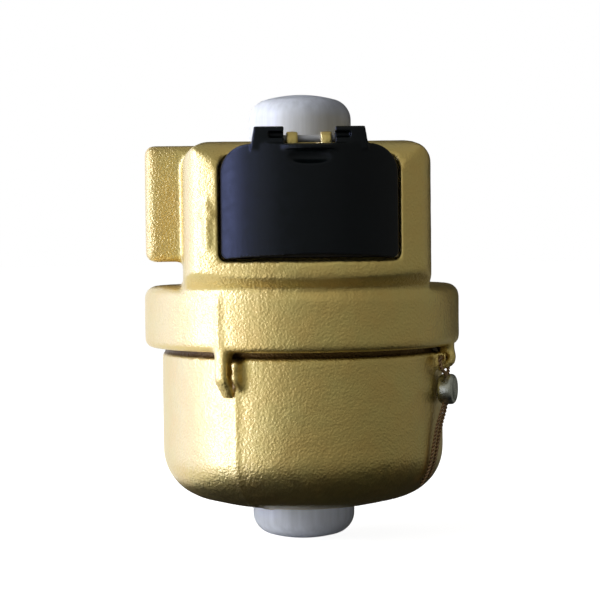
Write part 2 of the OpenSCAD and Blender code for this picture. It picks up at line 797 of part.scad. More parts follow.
module measuring_chamber() {
    color([0.90, 0.89, 0.84]) difference() {
        union() {
            disc(chamber_out_r, chamber_foot, ledge_z);
            disc(flange_r, ledge_z, cover_foot);
        }
        difference() {
            disc(chamber_r, chamber_base, cover_foot + 1);
            ring(hub_r, hub_r - hub_wall, chamber_base - 1, hub_top);
            disc(guide_post_r, chamber_base - 1, hub_top - 4);
        }
        rotate([0, 0, 200]) block(-4, hub_r + 2, chamber_foot - 1, 4, chamber_r - 2, chamber_base + 1);
    }
}

module chamber_cover() {
    color([0.86, 0.85, 0.80]) difference() {
        disc(flange_r, cover_foot, cover_top);
        disc(cover_hole_r, cover_foot - 1, cover_top + 1);
        rotate([0, 0, 160]) block(-4, hub_r + 2, cover_foot - 1, 4, chamber_r - 2, cover_top + 1);
    }
}

// Plate between hub and wall that parts inlet from outlet
module divider_plate() {
    color([0.75, 0.76, 0.78])
        block(-divider_t / 2, -chamber_r, chamber_base, divider_t / 2, -hub_r, hub_top);
}

// Drawn at its place on the orbit
module rotary_piston() {
    color([0.20, 0.20, 0.22]) translate([piston_orbit, 0, 0]) {
        difference() {
            union() {
                ring(piston_r, piston_in_r, piston_foot, piston_top);
                disc(piston_r - 1, web_foot, piston_top);
            }
            block(-piston_slot / 2, -piston_r - 1, piston_foot - 1, piston_slot / 2,
                -hub_r + piston_orbit + piston_gap, piston_top + 1);
            for (a = [30:60:150])
                rotate([0, 0, a]) translate([12.5, 0, web_foot - 1]) cylinder(r = 3, h = piston_web + 2);
        }
        disc(guide_pin_d / 2, chamber_base + 9, web_foot + 1);
        disc(drive_pin_d / 2, piston_top - 1, dog_top - 0.4);
    }
}

module drive_spindle() {
    slot = drive_pin_d / 2 + 0.3;
    color([0.92, 0.92, 0.90]) {
        difference() {
            disc(dog_r, dog_foot, dog_top);
            translate([piston_orbit, 0, dog_foot - 1]) cylinder(r = slot, h = 5);
            block(piston_orbit, -slot, dog_foot - 1, dog_r + 1, slot, dog_top + 1);
        }
        difference() {
            disc(spindle_d / 2, dog_foot, magnet_top + 0.6);
            translate([piston_orbit, 0, dog_foot - 1]) cylinder(r = slot, h = 1 + dog_top - dog_foot + 0.2);
        }
        disc(drive_magnet_d / 2, carrier_foot, magnet_foot);
        disc(magnet_hub_r, carrier_foot, magnet_top);
    }
}

module drive_magnet() {
    color([0.25, 0.25, 0.27]) ring(drive_magnet_d / 2, magnet_hub_r, magnet_foot, magnet_top);
}

// Three-legged bridge that carries the spindle
module drive_bearing() {
    reach = wet_r - 2.4;
    color([0.88, 0.87, 0.82]) difference() {
        union() {
            disc(spindle_d / 2 + 3, bearing_foot, bearing_top);
            for (a = [90, 210, 330]) rotate([0, 0, a]) {
                block(0, -2, bearing_foot, reach, 2, bearing_top);
                block(reach - 4, -2, cover_top, reach, 2, bearing_top);
            }
        }
        disc(spindle_d / 2 + spindle_run, bearing_foot - 1, bearing_top + 1);
    }
}

// Gear with straight-sided teeth, tooth centred on the given turn
module gear_shape(n, turn) {
    r = gear_m * n / 2;
    low = r - 1.2 * gear_m;
    high = r + 0.9 * gear_m;
    step = 360 / n;
    points = [for (i = [0:n - 1], p = [[low, -0.30], [high, -0.11], [high, 0.11], [low, 0.30]])
        p[0] * [cos(turn + step * (i + p[1])), sin(turn + step * (i + p[1]))]];
    polygon(points);
}

module follower_spindle() {
    color([0.93, 0.93, 0.90]) {
        disc(gear_shaft_r, case_foot + 0.6, frame_top);
        disc(magnet_hub_r, case_in_foot + 0.4, gear_foot);
        along_z(gear_foot, gear_top) gear_shape(pinion_n, face_idler);
        disc(follower_magnet_d / 2, case_in_foot + 0.4 + follower_magnet_h, gear_foot - 0.4);
    }
}

module follower_magnet() {
    color([0.25, 0.25, 0.27])
        ring(follower_magnet_d / 2, magnet_hub_r, case_in_foot + 0.4, case_in_foot + 0.4 + follower_magnet_h);
}

module idler_gear() {
    color([0.90, 0.90, 0.86]) translate([idler_x, idler_y, 0]) {
        disc(gear_shaft_r, gear_foot - 2, frame_top);
        along_z(gear_foot, gear_top) gear_shape(idler_n, idler_turn);
    }
}

// Helical thread of the worm, one start, right-handed
module worm_thread(z0, turns) {
    per = 16;
    low = worm_pitch_r - 1.3 * gear_m;
    high = worm_pitch_r + 0.8 * gear_m;
    last = turns * per;
    ridge = [[low, -0.78], [high, -0.3], [high, 0.3], [low, 0.78]];
    points = [for (i = [0:last], p = ridge)
        [p[0] * cos(360 * i / per), p[0] * sin(360 * i / per), z0 + worm_lead * i / per + p[1]]];
    faces = concat(
        [[0, 2, 1], [0, 3, 2]],
        [for (i = [0:last - 1], k = [0:3]) [4 * i + k, 4 * i + (k + 1) % 4, 4 * i + 4 + k]],
        [for (i = [0:last - 1], k = [0:3])
            [4 * i + (k + 1) % 4, 4 * i + 4 + (k + 1) % 4, 4 * i + 4 + k]],
        [[4 * last, 4 * last + 1, 4 * last + 2], [4 * last, 4 * last + 2, 4 * last + 3]]
    );
    polyhedron(points, faces, convexity = 6);
}

module worm_shaft() {
    color([0.90, 0.90, 0.86]) translate([worm_x, worm_y, 0]) {
        disc(gear_shaft_r, gear_foot - 2, case_in_top + journal);
        disc(worm_pitch_r - gear_m, frame_top + 0.5, drum_z + 1.75 * worm_lead);
        along_z(gear_foot, gear_top) gear_shape(driven_n, driven_turn);
        worm_thread(drum_z - 1.75 * worm_lead, 3);
    }
}

module worm_wheel() {
    color([0.92, 0.90, 0.80]) difference() {
        translate([worm_x - wheel_w / 2, drum_y, drum_z]) rotate([90, 0, 90])
            linear_extrude(wheel_w) gear_shape(wheel_n, 180 / wheel_n);
        bar_x(drum_shaft_r + spindle_run, worm_x - 5, worm_x + 5, drum_y, drum_z);
    }
}

module drum_shaft() {
    color([0.78, 0.79, 0.80])
        bar_x(drum_shaft_r, -case_x - journal, case_x + journal, drum_y, drum_z);
}

// Number drum, counted from the worm wheel
module number_drum(i) {
    x0 = first_drum_x - drum_pitch * (i - 1);
    color(i <= 3 ? [0.70, 0.10, 0.08] : [0.06, 0.06, 0.06]) difference() {
        bar_x(drum_r, x0, x0 + drum_w, drum_y, drum_z);
        bar_x(drum_shaft_r + spindle_run, x0 - 1, x0 + drum_w + 1, drum_y, drum_z);
        difference() {
            bar_x(drum_r - 1.3, x0 - 1, x0 + 0.9, drum_y, drum_z);
            bar_x(drum_shaft_r + 1.4, x0 - 1, x0 + 2, drum_y, drum_z);
        }
    }
}

module register_case() {
    post_x = case_x - 1.6;
    color([0.85, 0.86, 0.88]) difference() {
        union() {
            difference() {
                union() {
                    block(-case_out_x, case_front, case_foot, case_out_x, case_back, case_top);
                    block(-nose_x, case_back - 1, case_foot, nose_x, nose_back, nose_top);
                }
                block(-case_x, case_front - 1, case_in_foot, case_x, case_in_back, case_in_top);
                block(-nose_in_x, case_in_back - 1, case_in_foot, nose_in_x, nose_in_back, nose_in_top);
            }
            for (x = [-post_x, post_x], z = [case_in_foot + 1.1, case_in_top - 0.9])
                translate([x, 0, z]) rotate([90, 0, 0]) translate([0, 0, -case_in_back - 0.5])
                    cylinder(r = 0.9, h = case_in_back - dial_back + 0.5);
            for (p = [[idler_x, idler_y], [worm_x, worm_y]])
                translate([p[0], p[1], 0]) disc(gear_shaft_r + 1.2, case_foot + 0.5, gear_foot - 0.9);
        }
        for (p = [[idler_x, idler_y], [worm_x, worm_y]])
            translate([p[0], p[1], 0]) disc(gear_bore_r, gear_foot - 2.2, gear_foot);
        disc(gear_bore_r, case_foot + 0.5, case_in_foot + 1);
        translate([worm_x, worm_y, 0]) disc(gear_bore_r, case_in_top - 1, case_in_top + journal + 0.1);
        bar_x(drum_shaft_r, -case_x - journal, case_x + journal, drum_y, drum_z);
    }
}

// Plate that holds the upper ends of the gear shafts
module gear_frame() {
    color([0.80, 0.78, 0.70]) difference() {
        along_z(frame_foot, frame_top) union() {
            translate([-case_x, worm_y - 2.8]) square([2 * case_x, case_in_back - worm_y + 2.8]);
            translate([-nose_in_x, worm_y - 2.8]) square([2 * nose_in_x, nose_in_back - worm_y + 2.8]);
        }
        for (p = [[0, 0], [idler_x, idler_y], [worm_x, worm_y]])
            translate([p[0], p[1], 0]) disc(gear_bore_r, frame_foot - 1, frame_top + 1);
    }
}

module dial_plate() {
    window_x0 = first_drum_x - drum_pitch * (drum_count - 1) - 0.3;
    window_x1 = first_drum_x + drum_w + 0.3;
    color([0.95, 0.95, 0.93]) difference() {
        block(-case_x, dial_front, case_in_foot, case_x, dial_back, case_in_top);
        block(window_x0, dial_front - 1, drum_z - 3.4, window_x1, dial_back + 1, drum_z + 3.4);
    }
}

module window_gasket() {
    color([0.10, 0.10, 0.10]) difference() {
        block(-case_out_x, gasket_front, case_foot, case_out_x, case_front, case_top);
        block(-case_x, gasket_front - 1, case_in_foot, case_x, case_front + 1, case_in_top);
    }
}

module register_window() {
    color([0.80, 0.88, 0.90, 0.4])
        block(-case_out_x, glass_front, case_foot, case_out_x, gasket_front, case_top);
}

module register_bezel() {
    color([0.09, 0.09, 0.10]) difference() {
        block(-well_x, bezel_front, well_foot, well_x, glass_front, well_top);
        block(-well_x + bezel_w, bezel_front - 1, well_foot + bezel_w, well_x - bezel_w, glass_front + 1,
            well_top - bezel_w);
    }
}

// One hinge ear, on the right when side is 1
module lid_ear(side) {
    x0 = ear_in_x;
    x1 = ear_out_x;
    top = hinge_z + ear_rise;
    face = -crown_reach + 1.6;
    mirror([side > 0 ? 0 : 1, 0, 0]) difference() {
        intersection() {
            along_x(x0, x1) union() {
                translate([-hinge_reach, hinge_z]) circle(ear_r);
                polygon([
                    [-hinge_reach, hinge_z - ear_r], [face, hinge_z - ear_r - 0.6], [face, top - 0.7],
                    [face + 0.7, top], [-hinge_reach, top]
                ]);
            }
            along_y(-60, 0) polygon([
                [x0, 90], [x1, 90], [x1, hinge_z - ear_r], [x1 - ear_slant, top], [x0, top]
            ]);
        }
        block(x0 - 1, -60, hinge_z + 0.1, x0 + ear_slot_w, -hinge_reach - 1.9, hinge_z + 0.1 + ear_slot_h);
    }
}

module thumb_scoop() {
    half = scoop_h / 2;
    ring_r = (pow(scoop_w / 2, 2) + pow(scoop_depth, 2)) / (2 * scoop_depth);
    translate([0, -crown_reach - ring_r + scoop_depth, lid_top - 3.4]) rotate_extrude() union() {
        translate([ring_r - half, 0]) intersection() {
            circle(half);
            translate([0, -half]) square([half, scoop_h]);
        }
        translate([0, -half]) square([ring_r - half + eps, scoop_h]);
    }
}

module thumb_lip() {
    front = crown_reach + lip_out;
    lip_r = 14.8;
    along_z(lid_top - 1.5, lid_top - 1.5 + lip_t) intersection() {
        translate([0, -front + lip_r]) circle(lip_r);
        translate([-10, -front - 1]) square([20, lip_out + 2]);
    }
}

module lid() {
    hollow_r = (pow(lid_w / 2, 2) + pow(lid_foot_hollow, 2)) / (2 * lid_foot_hollow);
    color([0.05, 0.05, 0.06]) difference() {
        union() {
            difference() {
                intersection() {
                    along_z(lid_foot, lid_top) difference() {
                        translate([0, crown_y]) circle(crown_r, $fn = 180);
                        translate([0, crown_y]) circle(crown_r - lid_t, $fn = 180);
                        translate([-60, -20]) square([120, 120]);
                    }
                    along_y(-60, 0) difference() {
                        lid_shape(0);
                        translate([0, lid_foot + lid_foot_hollow - hollow_r]) circle(hollow_r, $fn = 180);
                    }
                }
                thumb_scoop();
            }
            thumb_lip();
            lid_ear(1);
            lid_ear(-1);
        }
        bar_x(hinge_pin_d / 2 + hinge_run, -ear_out_x - 1, ear_out_x + 1, -hinge_reach, hinge_z);
    }
}

module hinge_pin() {
    color([0.70, 0.71, 0.73]) bar_x(hinge_pin_d / 2, -hinge_half, hinge_half, -hinge_reach, hinge_z);
}

// Push-on cup with its mouth up: the pipe end lies at z = 0 and the domed end below it
module thread_cap(depth) {
    r_in = thread_r + cap_room;
    rotate_extrude() difference() {
        cup_section(r_in + cap_wall, cap_corner_r, cap_dome_r, -cap_end_room - cap_end_wall, depth);
        cup_section(r_in, cap_in_corner_r, cap_dome_r - cap_end_wall, -cap_end_room, depth + 1);
    }
}

module inlet_cap() {
    color([0.86, 0.86, 0.90]) thread_cap(inlet_reach - cap_rim_gap);
}

module outlet_cap() {
    color([0.86, 0.86, 0.90]) translate([0, 0, body_length]) mirror([0, 0, 1])
        thread_cap(outlet_reach - cap_rim_gap);
}

module lead_seal() {
    color([0.30, 0.31, 0.32]) round_pipe(fin_right) translate([0, -seal_r, seal_z]) rotate([90, 0, 0])
        translate([0, 0, -seal_t / 2]) rotate_extrude() intersection() {
            translate([-seal_d, 0]) rounded(0, 0, seal_d + seal_d / 2, seal_t, 1.1);
            square([seal_d, seal_t]);
        }
}

// Round wire along a route, eight-sided
module wire_tube(route, r) {
    last = len(route) - 1;
    sides = 8;
    way = [for (i = [0:last]) let (
        a = route[max(i - 1, 0)],
        b = route[min(i + 1, last)]
    ) (b - a) / norm(b - a)];
    first = cross(way[0], seal_out) / norm(cross(way[0], seal_out));
    across = [for (i = 0, v = first; i <= last;
        i = i + 1, v = i > last ? v : let (w = v - (v * way[i]) * way[i]) w / norm(w)) v];
    points = [for (i = [0:last], k = [0:sides - 1]) let (
        u = across[i],
        w = cross(way[i], u),
        a = 360 * k / sides
    ) route[i] + r * (cos(a) * u + sin(a) * w)];
    faces = concat(
        [[for (k = [0:sides - 1]) k]],
        [for (i = [0:last - 1], k = [0:sides - 1])
            [sides * i + k, sides * (i + 1) + k, sides * i + (k + 1) % sides]],
        [for (i = [0:last - 1], k = [0:sides - 1])
            [sides * i + (k + 1) % sides, sides * (i + 1) + k, sides * (i + 1) + (k + 1) % sides]],
        [[for (k = [sides - 1:-1:0]) sides * last + k]]
    );
    polyhedron(points, faces, convexity = 8);
}

module seal_wire() {
    color([0.62, 0.40, 0.24]) wire_tube(wire_route, wire_d / 2);
}

head_casting();
bowl_casting();
body_seal();
inlet_strainer();
measuring_chamber();
chamber_cover();
divider_plate();
chamber_seal();
rotary_piston();
drive_spindle();
drive_magnet();
drive_bearing();
register_case();
gear_frame();
follower_spindle();
follower_magnet();
idler_gear();
worm_shaft();
worm_wheel();
drum_shaft();
number_drum(1);  // drum_1
number_drum(2);  // drum_2
number_drum(3);  // drum_3
number_drum(4);  // drum_4
number_drum(5);  // drum_5
number_drum(6);  // drum_6
number_drum(7);  // drum_7
number_drum(8);  // drum_8
dial_plate();
window_gasket();
register_window();
register_bezel();
lid();
hinge_pin();
inlet_cap();
outlet_cap();
lead_seal();
seal_wire();
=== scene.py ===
"""Looks of a brass rotary-piston water meter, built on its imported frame.

Every piece is in metres in the frame of the solids: Z runs up the pipe with the flow, X to the right of the
lid, and the lid faces -Y.
"""

from __future__ import annotations

import json
import logging
import math
from dataclasses import dataclass, field
from enum import Enum

import bmesh
import bpy
from mathutils import Matrix, Vector

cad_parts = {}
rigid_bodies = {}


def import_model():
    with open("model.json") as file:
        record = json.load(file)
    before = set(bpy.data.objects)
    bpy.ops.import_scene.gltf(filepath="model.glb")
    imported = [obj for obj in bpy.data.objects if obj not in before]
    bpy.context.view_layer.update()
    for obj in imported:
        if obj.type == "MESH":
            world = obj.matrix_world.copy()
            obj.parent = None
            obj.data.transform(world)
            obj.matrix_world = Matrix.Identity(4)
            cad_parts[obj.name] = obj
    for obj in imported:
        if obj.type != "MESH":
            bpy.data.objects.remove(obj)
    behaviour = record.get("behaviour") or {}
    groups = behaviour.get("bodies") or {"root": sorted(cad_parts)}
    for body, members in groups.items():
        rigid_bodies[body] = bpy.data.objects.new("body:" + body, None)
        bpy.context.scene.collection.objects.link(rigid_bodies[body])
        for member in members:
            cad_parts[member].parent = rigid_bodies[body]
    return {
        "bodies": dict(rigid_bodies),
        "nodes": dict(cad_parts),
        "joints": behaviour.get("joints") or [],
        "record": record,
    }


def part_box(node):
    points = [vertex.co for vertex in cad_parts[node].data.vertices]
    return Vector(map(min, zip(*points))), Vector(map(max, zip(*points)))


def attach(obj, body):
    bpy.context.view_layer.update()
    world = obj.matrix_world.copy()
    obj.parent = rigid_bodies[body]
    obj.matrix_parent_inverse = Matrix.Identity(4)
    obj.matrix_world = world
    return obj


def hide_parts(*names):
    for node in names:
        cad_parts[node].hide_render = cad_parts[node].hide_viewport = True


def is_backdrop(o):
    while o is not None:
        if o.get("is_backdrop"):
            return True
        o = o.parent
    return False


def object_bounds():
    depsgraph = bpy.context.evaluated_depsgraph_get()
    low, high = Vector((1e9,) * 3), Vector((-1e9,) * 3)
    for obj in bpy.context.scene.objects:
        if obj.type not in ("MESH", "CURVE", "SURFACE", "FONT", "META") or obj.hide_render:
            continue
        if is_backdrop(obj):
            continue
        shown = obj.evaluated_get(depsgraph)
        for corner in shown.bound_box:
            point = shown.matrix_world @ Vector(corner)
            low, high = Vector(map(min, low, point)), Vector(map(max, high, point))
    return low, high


LOG = logging.getLogger("water_meter")
MM = 0.001

# Points closer than this, in metres, are one point
WELD = 1e-7
# Most of a noise lies between these two values
NOISE_LOW = 0.3
NOISE_HIGH = 0.7
# Number drums of the register, the red ones at the right, and the figures on each
DRUMS = 8
RED_DRUMS = 3
FIGURES = 10

Triple = tuple[float, float, float]
Colour = Triple
Socket = bpy.types.NodeSocket


class Body(Enum):
    """Bodies of the frame that new pieces ride on."""

    METER = "meter_body"
    LID = "lid_body"


class NodeSheet:
    """A material's node tree, with short calls for the nodes that the finishes need."""

    def __init__(self, name: str) -> None:
        """Starts an empty material with a Principled shader.

        Args:
            name: Name of the new material.
        """
        self.material = bpy.data.materials.new(name)
        self.material.use_nodes = True
        self.tree = self.material.node_tree
        self.tree.nodes.clear()
        self.shader = self.tree.nodes.new("ShaderNodeBsdfPrincipled")
        output = self.tree.nodes.new("ShaderNodeOutputMaterial")
        self.link(self.shader.outputs["BSDF"], output.inputs["Surface"])

    def link(self, source: Socket, target: Socket) -> None:
        """Joins two sockets."""
        self.tree.links.new(source, target)

    def set(self, socket: str, value: float | tuple[float, ...] | Socket) -> None:
        """Sets a socket of the Principled shader, or joins it to a node."""
        self.feed(value, self.shader.inputs[socket])

    def place(self, stretch: Triple = (1, 1, 1)) -> Socket:
        """Object coordinates, stretched.

        Args:
            stretch: Factor along each axis.

        Returns:
            The mapped vector.
        """
        coords = self.tree.nodes.new("ShaderNodeTexCoord")
        mapping = self.tree.nodes.new("ShaderNodeMapping")
        mapping.inputs["Scale"].default_value = stretch
        self.link(coords.outputs["Object"], mapping.inputs["Vector"])
        return mapping.outputs["Vector"]

    def noise(self, size: float, detail: float = 2.0, stretch: Triple = (1, 1, 1)) -> Socket:
        """Cloudy noise.

        Args:
            size: Length of one wave, in metres.
            detail: Number of finer layers.
            stretch: Factor along each axis.

        Returns:
            The noise, from 0 to 1.
        """
        node = self.tree.nodes.new("ShaderNodeTexNoise")
        node.inputs["Scale"].default_value = 1.0 / size
        node.inputs["Detail"].default_value = detail
        self.link(self.place(stretch), node.inputs["Vector"])
        return node.outputs["Fac"]

    def pebbles(self, size: float, softness: float = 0.6) -> Socket:
        """Rounded grains that touch each other.

        Args:
            size: Width of a grain, in metres.
            softness: How far the grains melt into each other.

        Returns:
            Distance from the middle of each grain.
        """
        node = self.tree.nodes.new("ShaderNodeTexVoronoi")
        node.feature = "SMOOTH_F1"
        node.inputs["Scale"].default_value = 1.0 / size
        node.inputs["Smoothness"].default_value = softness
        self.link(self.place(), node.inputs["Vector"])
        return node.outputs["Distance"]

    def spread(self, source: Socket, low: float, high: float) -> Socket:
        """Maps the middle of a noise to a range.

        Args:
            source: Noise, from 0 to 1.
            low: Value at the noise's dark end.
            high: Value at its bright end.

        Returns:
            The mapped value.
        """
        node = self.tree.nodes.new("ShaderNodeMapRange")
        node.inputs["From Min"].default_value = NOISE_LOW
        node.inputs["From Max"].default_value = NOISE_HIGH
        node.inputs["To Min"].default_value = low
        node.inputs["To Max"].default_value = high
        self.link(source, node.inputs["Value"])
        return node.outputs["Result"]

    def blend(self, source: Socket, first: Colour, second: Colour) -> Socket:
        """Mixes two colours by a noise.

        Args:
            source: Noise, from 0 to 1.
            first: Colour at its dark end.
            second: Colour at its bright end.

        Returns:
            The mixed colour.
        """
        ramp = self.tree.nodes.new("ShaderNodeValToRGB")
        ramp.color_ramp.elements[0].position = NOISE_LOW
        ramp.color_ramp.elements[0].color = (*first, 1)
        ramp.color_ramp.elements[1].position = NOISE_HIGH
        ramp.color_ramp.elements[1].color = (*second, 1)
        self.link(source, ramp.inputs["Fac"])
        return ramp.outputs["Color"]

    def calc(self, operation: str, first: Socket, second: float | Socket = 0.0) -> Socket:
        """Sums with one or two values.

        Args:
            operation: Name of the sum in Blender.
            first: First value.
            second: Second value, fixed or from a node.

        Returns:
            The result.
        """
        node = self.tree.nodes.new("ShaderNodeMath")
        node.operation = operation
        self.link(first, node.inputs[0])
        self.feed(second, node.inputs[1])
        return node.outputs[0]

    def feed(self, value: float | tuple[float, ...] | Socket, target: Socket) -> None:
        """Sets a socket, or joins it to another one.

        Args:
            value: What goes in, fixed or from a node.
            target: The socket.
        """
        if isinstance(value, Socket):
            self.link(value, target)
        else:
            target.default_value = value

    def along(self, axis: str) -> Socket:
        """One of the object coordinates.

        Args:
            axis: Letter of the axis.

        Returns:
            The coordinate, in metres.
        """
        split = self.tree.nodes.new("ShaderNodeSeparateXYZ")
        self.link(self.place(), split.inputs[0])
        return split.outputs[axis]

    def ease(
        self, source: Socket, start: float, end: float, low: float = 0.0, high: float = 1.0
    ) -> Socket:
        """Runs smoothly from low to high while a value runs from start to end.

        Args:
            source: The value.
            start: Value that gives low.
            end: Value that gives high.
            low: Result at the start.
            high: Result at the end.

        Returns:
            The eased result.
        """
        node = self.tree.nodes.new("ShaderNodeMapRange")
        node.interpolation_type = "SMOOTHSTEP"
        for name, value in (("From Min", start), ("From Max", end), ("To Min", low), ("To Max", high)):
            node.inputs[name].default_value = value
        self.link(source, node.inputs["Value"])
        return node.outputs["Result"]

    def shade(self, source: Socket, under: Socket, colour: Colour) -> Socket:
        """Lays a colour over another one.

        Args:
            source: How much of the colour is laid on, from 0 to 1.
            under: Colour below.
            colour: Colour above.

        Returns:
            The mixed colour.
        """
        mix = self.tree.nodes.new("ShaderNodeMix")
        mix.data_type = "RGBA"
        below, above = [socket for socket in mix.inputs if socket.type == "RGBA"]
        self.link(source, mix.inputs["Factor"])
        self.link(under, below)
        above.default_value = (*colour, 1)
        return next(socket for socket in mix.outputs if socket.type == "RGBA")

    def raise_by(self, height: Socket, depth: float | Socket, under: Socket | None = None) -> Socket:
        """Bumps a surface.

        Args:
            height: Height of the surface, from 0 to 1.
            depth: Height of the bumps, in metres.
            under: Normal that the bumps are laid on.

        Returns:
            The bumped normal.
        """
        bump = self.tree.nodes.new("ShaderNodeBump")
        self.feed(depth, bump.inputs["Distance"])
        self.link(height, bump.inputs["Height"])
        if under is not None:
            self.link(under, bump.inputs["Normal"])
        return bump.outputs["Normal"]


@dataclass(frozen=True)
class SandCastBrass:
    """Brass as it leaves a sand mould: golden, grainy, a little uneven in tone, with painted shade in the
    groove.
    """

    name: str = "sand_cast_brass"
    warm: Colour = (0.80, 0.58, 0.16)
    pale: Colour = (0.78, 0.63, 0.19)
    # Colour of the painted shade in the groove between head and bowl
    soot: Colour = (0.10, 0.06, 0.02)
    tone_size: float = 9 * MM
    gloss_size: float = 3 * MM
    roughness: tuple[float, float] = (0.36, 0.46)
    coat: float = 0.9
    joint_coat: float = 0.05
    coat_roughness: float = 0.35
    coat_ior: float = 1.9
    wave_size: float = 4.2 * MM
    wave_h: float = 0.08 * MM
    grain: float = 0.54 * MM
    grain_h: float = 0.09 * MM
    patch_grain_h: float = 0.34 * MM
    pit_share: float = 1.3
    pit_h: float = 0.08 * MM
    joint_z: float = 48.7 * MM
    joint_half: float = 0.6 * MM
    joint_fade: float = 2.4
    joint_r: float = 40.2 * MM
    patch_x: float = -36 * MM
    patch_z: float = 71 * MM
    patch_fade: float = 2 * MM

    def joint(self, sheet: NodeSheet) -> Socket:
        """Finds the groove between head and bowl, where painted shade darkens the brass.

        Args:
            sheet: The brass's nodes.

        Returns:
            One in the joint, nought elsewhere.
        """
        away = sheet.calc("ABSOLUTE", sheet.calc("SUBTRACT", sheet.along("Z"), self.joint_z))
        level = sheet.ease(away, self.joint_half, self.joint_fade * self.joint_half, 1.0, 0.0)
        squares = [sheet.calc("POWER", sheet.calc("ABSOLUTE", sheet.along(axis)), 2.0) for axis in "XY"]
        reach = sheet.calc("SQRT", sheet.calc("ADD", *squares))
        return sheet.calc("MULTIPLY", level, sheet.ease(reach, self.joint_r, self.joint_r + MM, 1.0, 0.0))

    def patch(self, sheet: NodeSheet) -> Socket:
        """Finds the rough side boss.

        Args:
            sheet: The brass's nodes.

        Returns:
            One on the boss, nought elsewhere.
        """
        left = sheet.ease(sheet.along("X"), self.patch_x, self.patch_x + self.patch_fade, 1.0, 0.0)
        high = sheet.ease(sheet.along("Z"), self.patch_z, self.patch_z + self.patch_fade)
        return sheet.calc("MULTIPLY", left, high)

    def material(self) -> bpy.types.Material:
        """Makes the material.

        Returns:
            The new material.
        """
        sheet = NodeSheet(self.name)
        sheet.set("Metallic", 1.0)
        sheet.set("Coat Roughness", self.coat_roughness)
        sheet.set("Coat IOR", self.coat_ior)
        # Painted shade: the groove between head and bowl is darkened and loses most of its coat
        joint = self.joint(sheet)
        coat = sheet.ease(joint, 0, 1, self.coat, self.joint_coat)
        sheet.set("Coat Weight", coat)
        tone = sheet.noise(self.tone_size, detail=3)
        clean = sheet.blend(tone, self.warm, self.pale)
        sheet.set("Base Color", sheet.shade(joint, clean, self.soot))
        gloss = sheet.noise(self.gloss_size, detail=2)
        sheet.set("Roughness", sheet.spread(gloss, *self.roughness))
        waves = sheet.raise_by(sheet.noise(self.wave_size, detail=1), self.wave_h)
        grain_h = sheet.ease(self.patch(sheet), 0, 1, self.grain_h, self.patch_grain_h)
        grainy = sheet.raise_by(sheet.noise(self.grain, detail=2), grain_h, under=waves)
        pits = sheet.raise_by(sheet.pebbles(self.pit_share * self.grain), self.pit_h, under=grainy)
        sheet.set("Normal", pits)
        sheet.set("Coat Normal", pits)
        return sheet.material


@dataclass(frozen=True)
class Moulding:
    """Dull stuff with a fine grain: moulded plastic, rubber, ink, ferrite and zinc plating."""

    name: str
    colour: Colour
    roughness: float = 0.45
    grain: float = 0.35 * MM
    depth: float = 0.012 * MM
    shift: float = 0.06
    tone_size: float = 6 * MM
    gloss_size: float = 2 * MM
    gloss_shift: float = 0.05
    stretch: Triple = (1, 1, 1)
    glow: float = 0.0
    glow_depth: Triple = (2 * MM, 2 * MM, 2.4 * MM)
    sheen: float = 0.5
    sheen_tint: Colour = (1, 1, 1)
    crown: float = 0.0
    crown_x: float = 23 * MM

    def material(self) -> bpy.types.Material:
        """Makes the material.

        Returns:
            The new material.
        """
        sheet = NodeSheet(self.name)
        sheet.set("Specular IOR Level", self.sheen)
        sheet.set("Specular Tint", (*self.sheen_tint, 1))
        dark = tuple(c * (1 - self.shift) for c in self.colour)
        light = tuple(min(1.0, c * (1 + self.shift)) for c in self.colour)
        tone = sheet.noise(self.tone_size, detail=3, stretch=self.stretch)
        sheet.set("Base Color", sheet.blend(tone, dark, light))
        gloss = sheet.noise(self.gloss_size, detail=2, stretch=self.stretch)
        rough = sheet.spread(gloss, self.roughness - self.gloss_shift, self.roughness + self.gloss_shift)
        sheet.set("Roughness", rough)
        swell = self.swell(sheet) if self.crown else None
        grainy = sheet.noise(self.grain, detail=2, stretch=self.stretch)
        sheet.set("Normal", sheet.raise_by(grainy, self.depth, under=swell))
        if self.glow:
            sheet.set("Subsurface Weight", self.glow)
            sheet.set("Subsurface Radius", self.glow_depth)
            sheet.set("Subsurface Scale", 1.0)
        return sheet.material

    def swell(self, sheet: NodeSheet) -> Socket:
        """Lets a face fall away to both sides, by the slope crown at crown_x.

        Args:
            sheet: The finish's nodes.

        Returns:
            The face's normal.
        """
        side = sheet.calc("POWER", sheet.calc("ABSOLUTE", sheet.along("X")), 2.0)
        fall = sheet.calc("MULTIPLY", side, -self.crown / (2 * self.crown_x))
        return sheet.raise_by(fall, 1.0)


@dataclass(frozen=True)
class BareMetal:
    """Plain metal with drawn or pressed marks."""

    name: str
    colour: Colour
    roughness: float = 0.35
    darkest: float = 0.7
    tone_size: float = 2 * MM
    gloss_size: float = 1.2 * MM
    gloss_shift: tuple[float, float] = (-0.08, 0.1)
    grain: float = 0.6 * MM
    depth: float = 0.03 * MM
    stretch: Triple = (1, 1, 1)

    def material(self) -> bpy.types.Material:
        """Makes the material.

        Returns:
            The new material.
        """
        sheet = NodeSheet(self.name)
        sheet.set("Metallic", 1.0)
        dark = tuple(c * self.darkest for c in self.colour)
        tone = sheet.noise(self.tone_size, detail=3, stretch=self.stretch)
        sheet.set("Base Color", sheet.blend(tone, dark, self.colour))
        gloss = sheet.noise(self.gloss_size, detail=2, stretch=self.stretch)
        rough = sheet.spread(gloss, *(self.roughness + shift for shift in self.gloss_shift))
        sheet.set("Roughness", rough)
        marks = sheet.raise_by(sheet.noise(self.grain, detail=2, stretch=self.stretch), self.depth)
        sheet.set("Normal", marks)
        return sheet.material


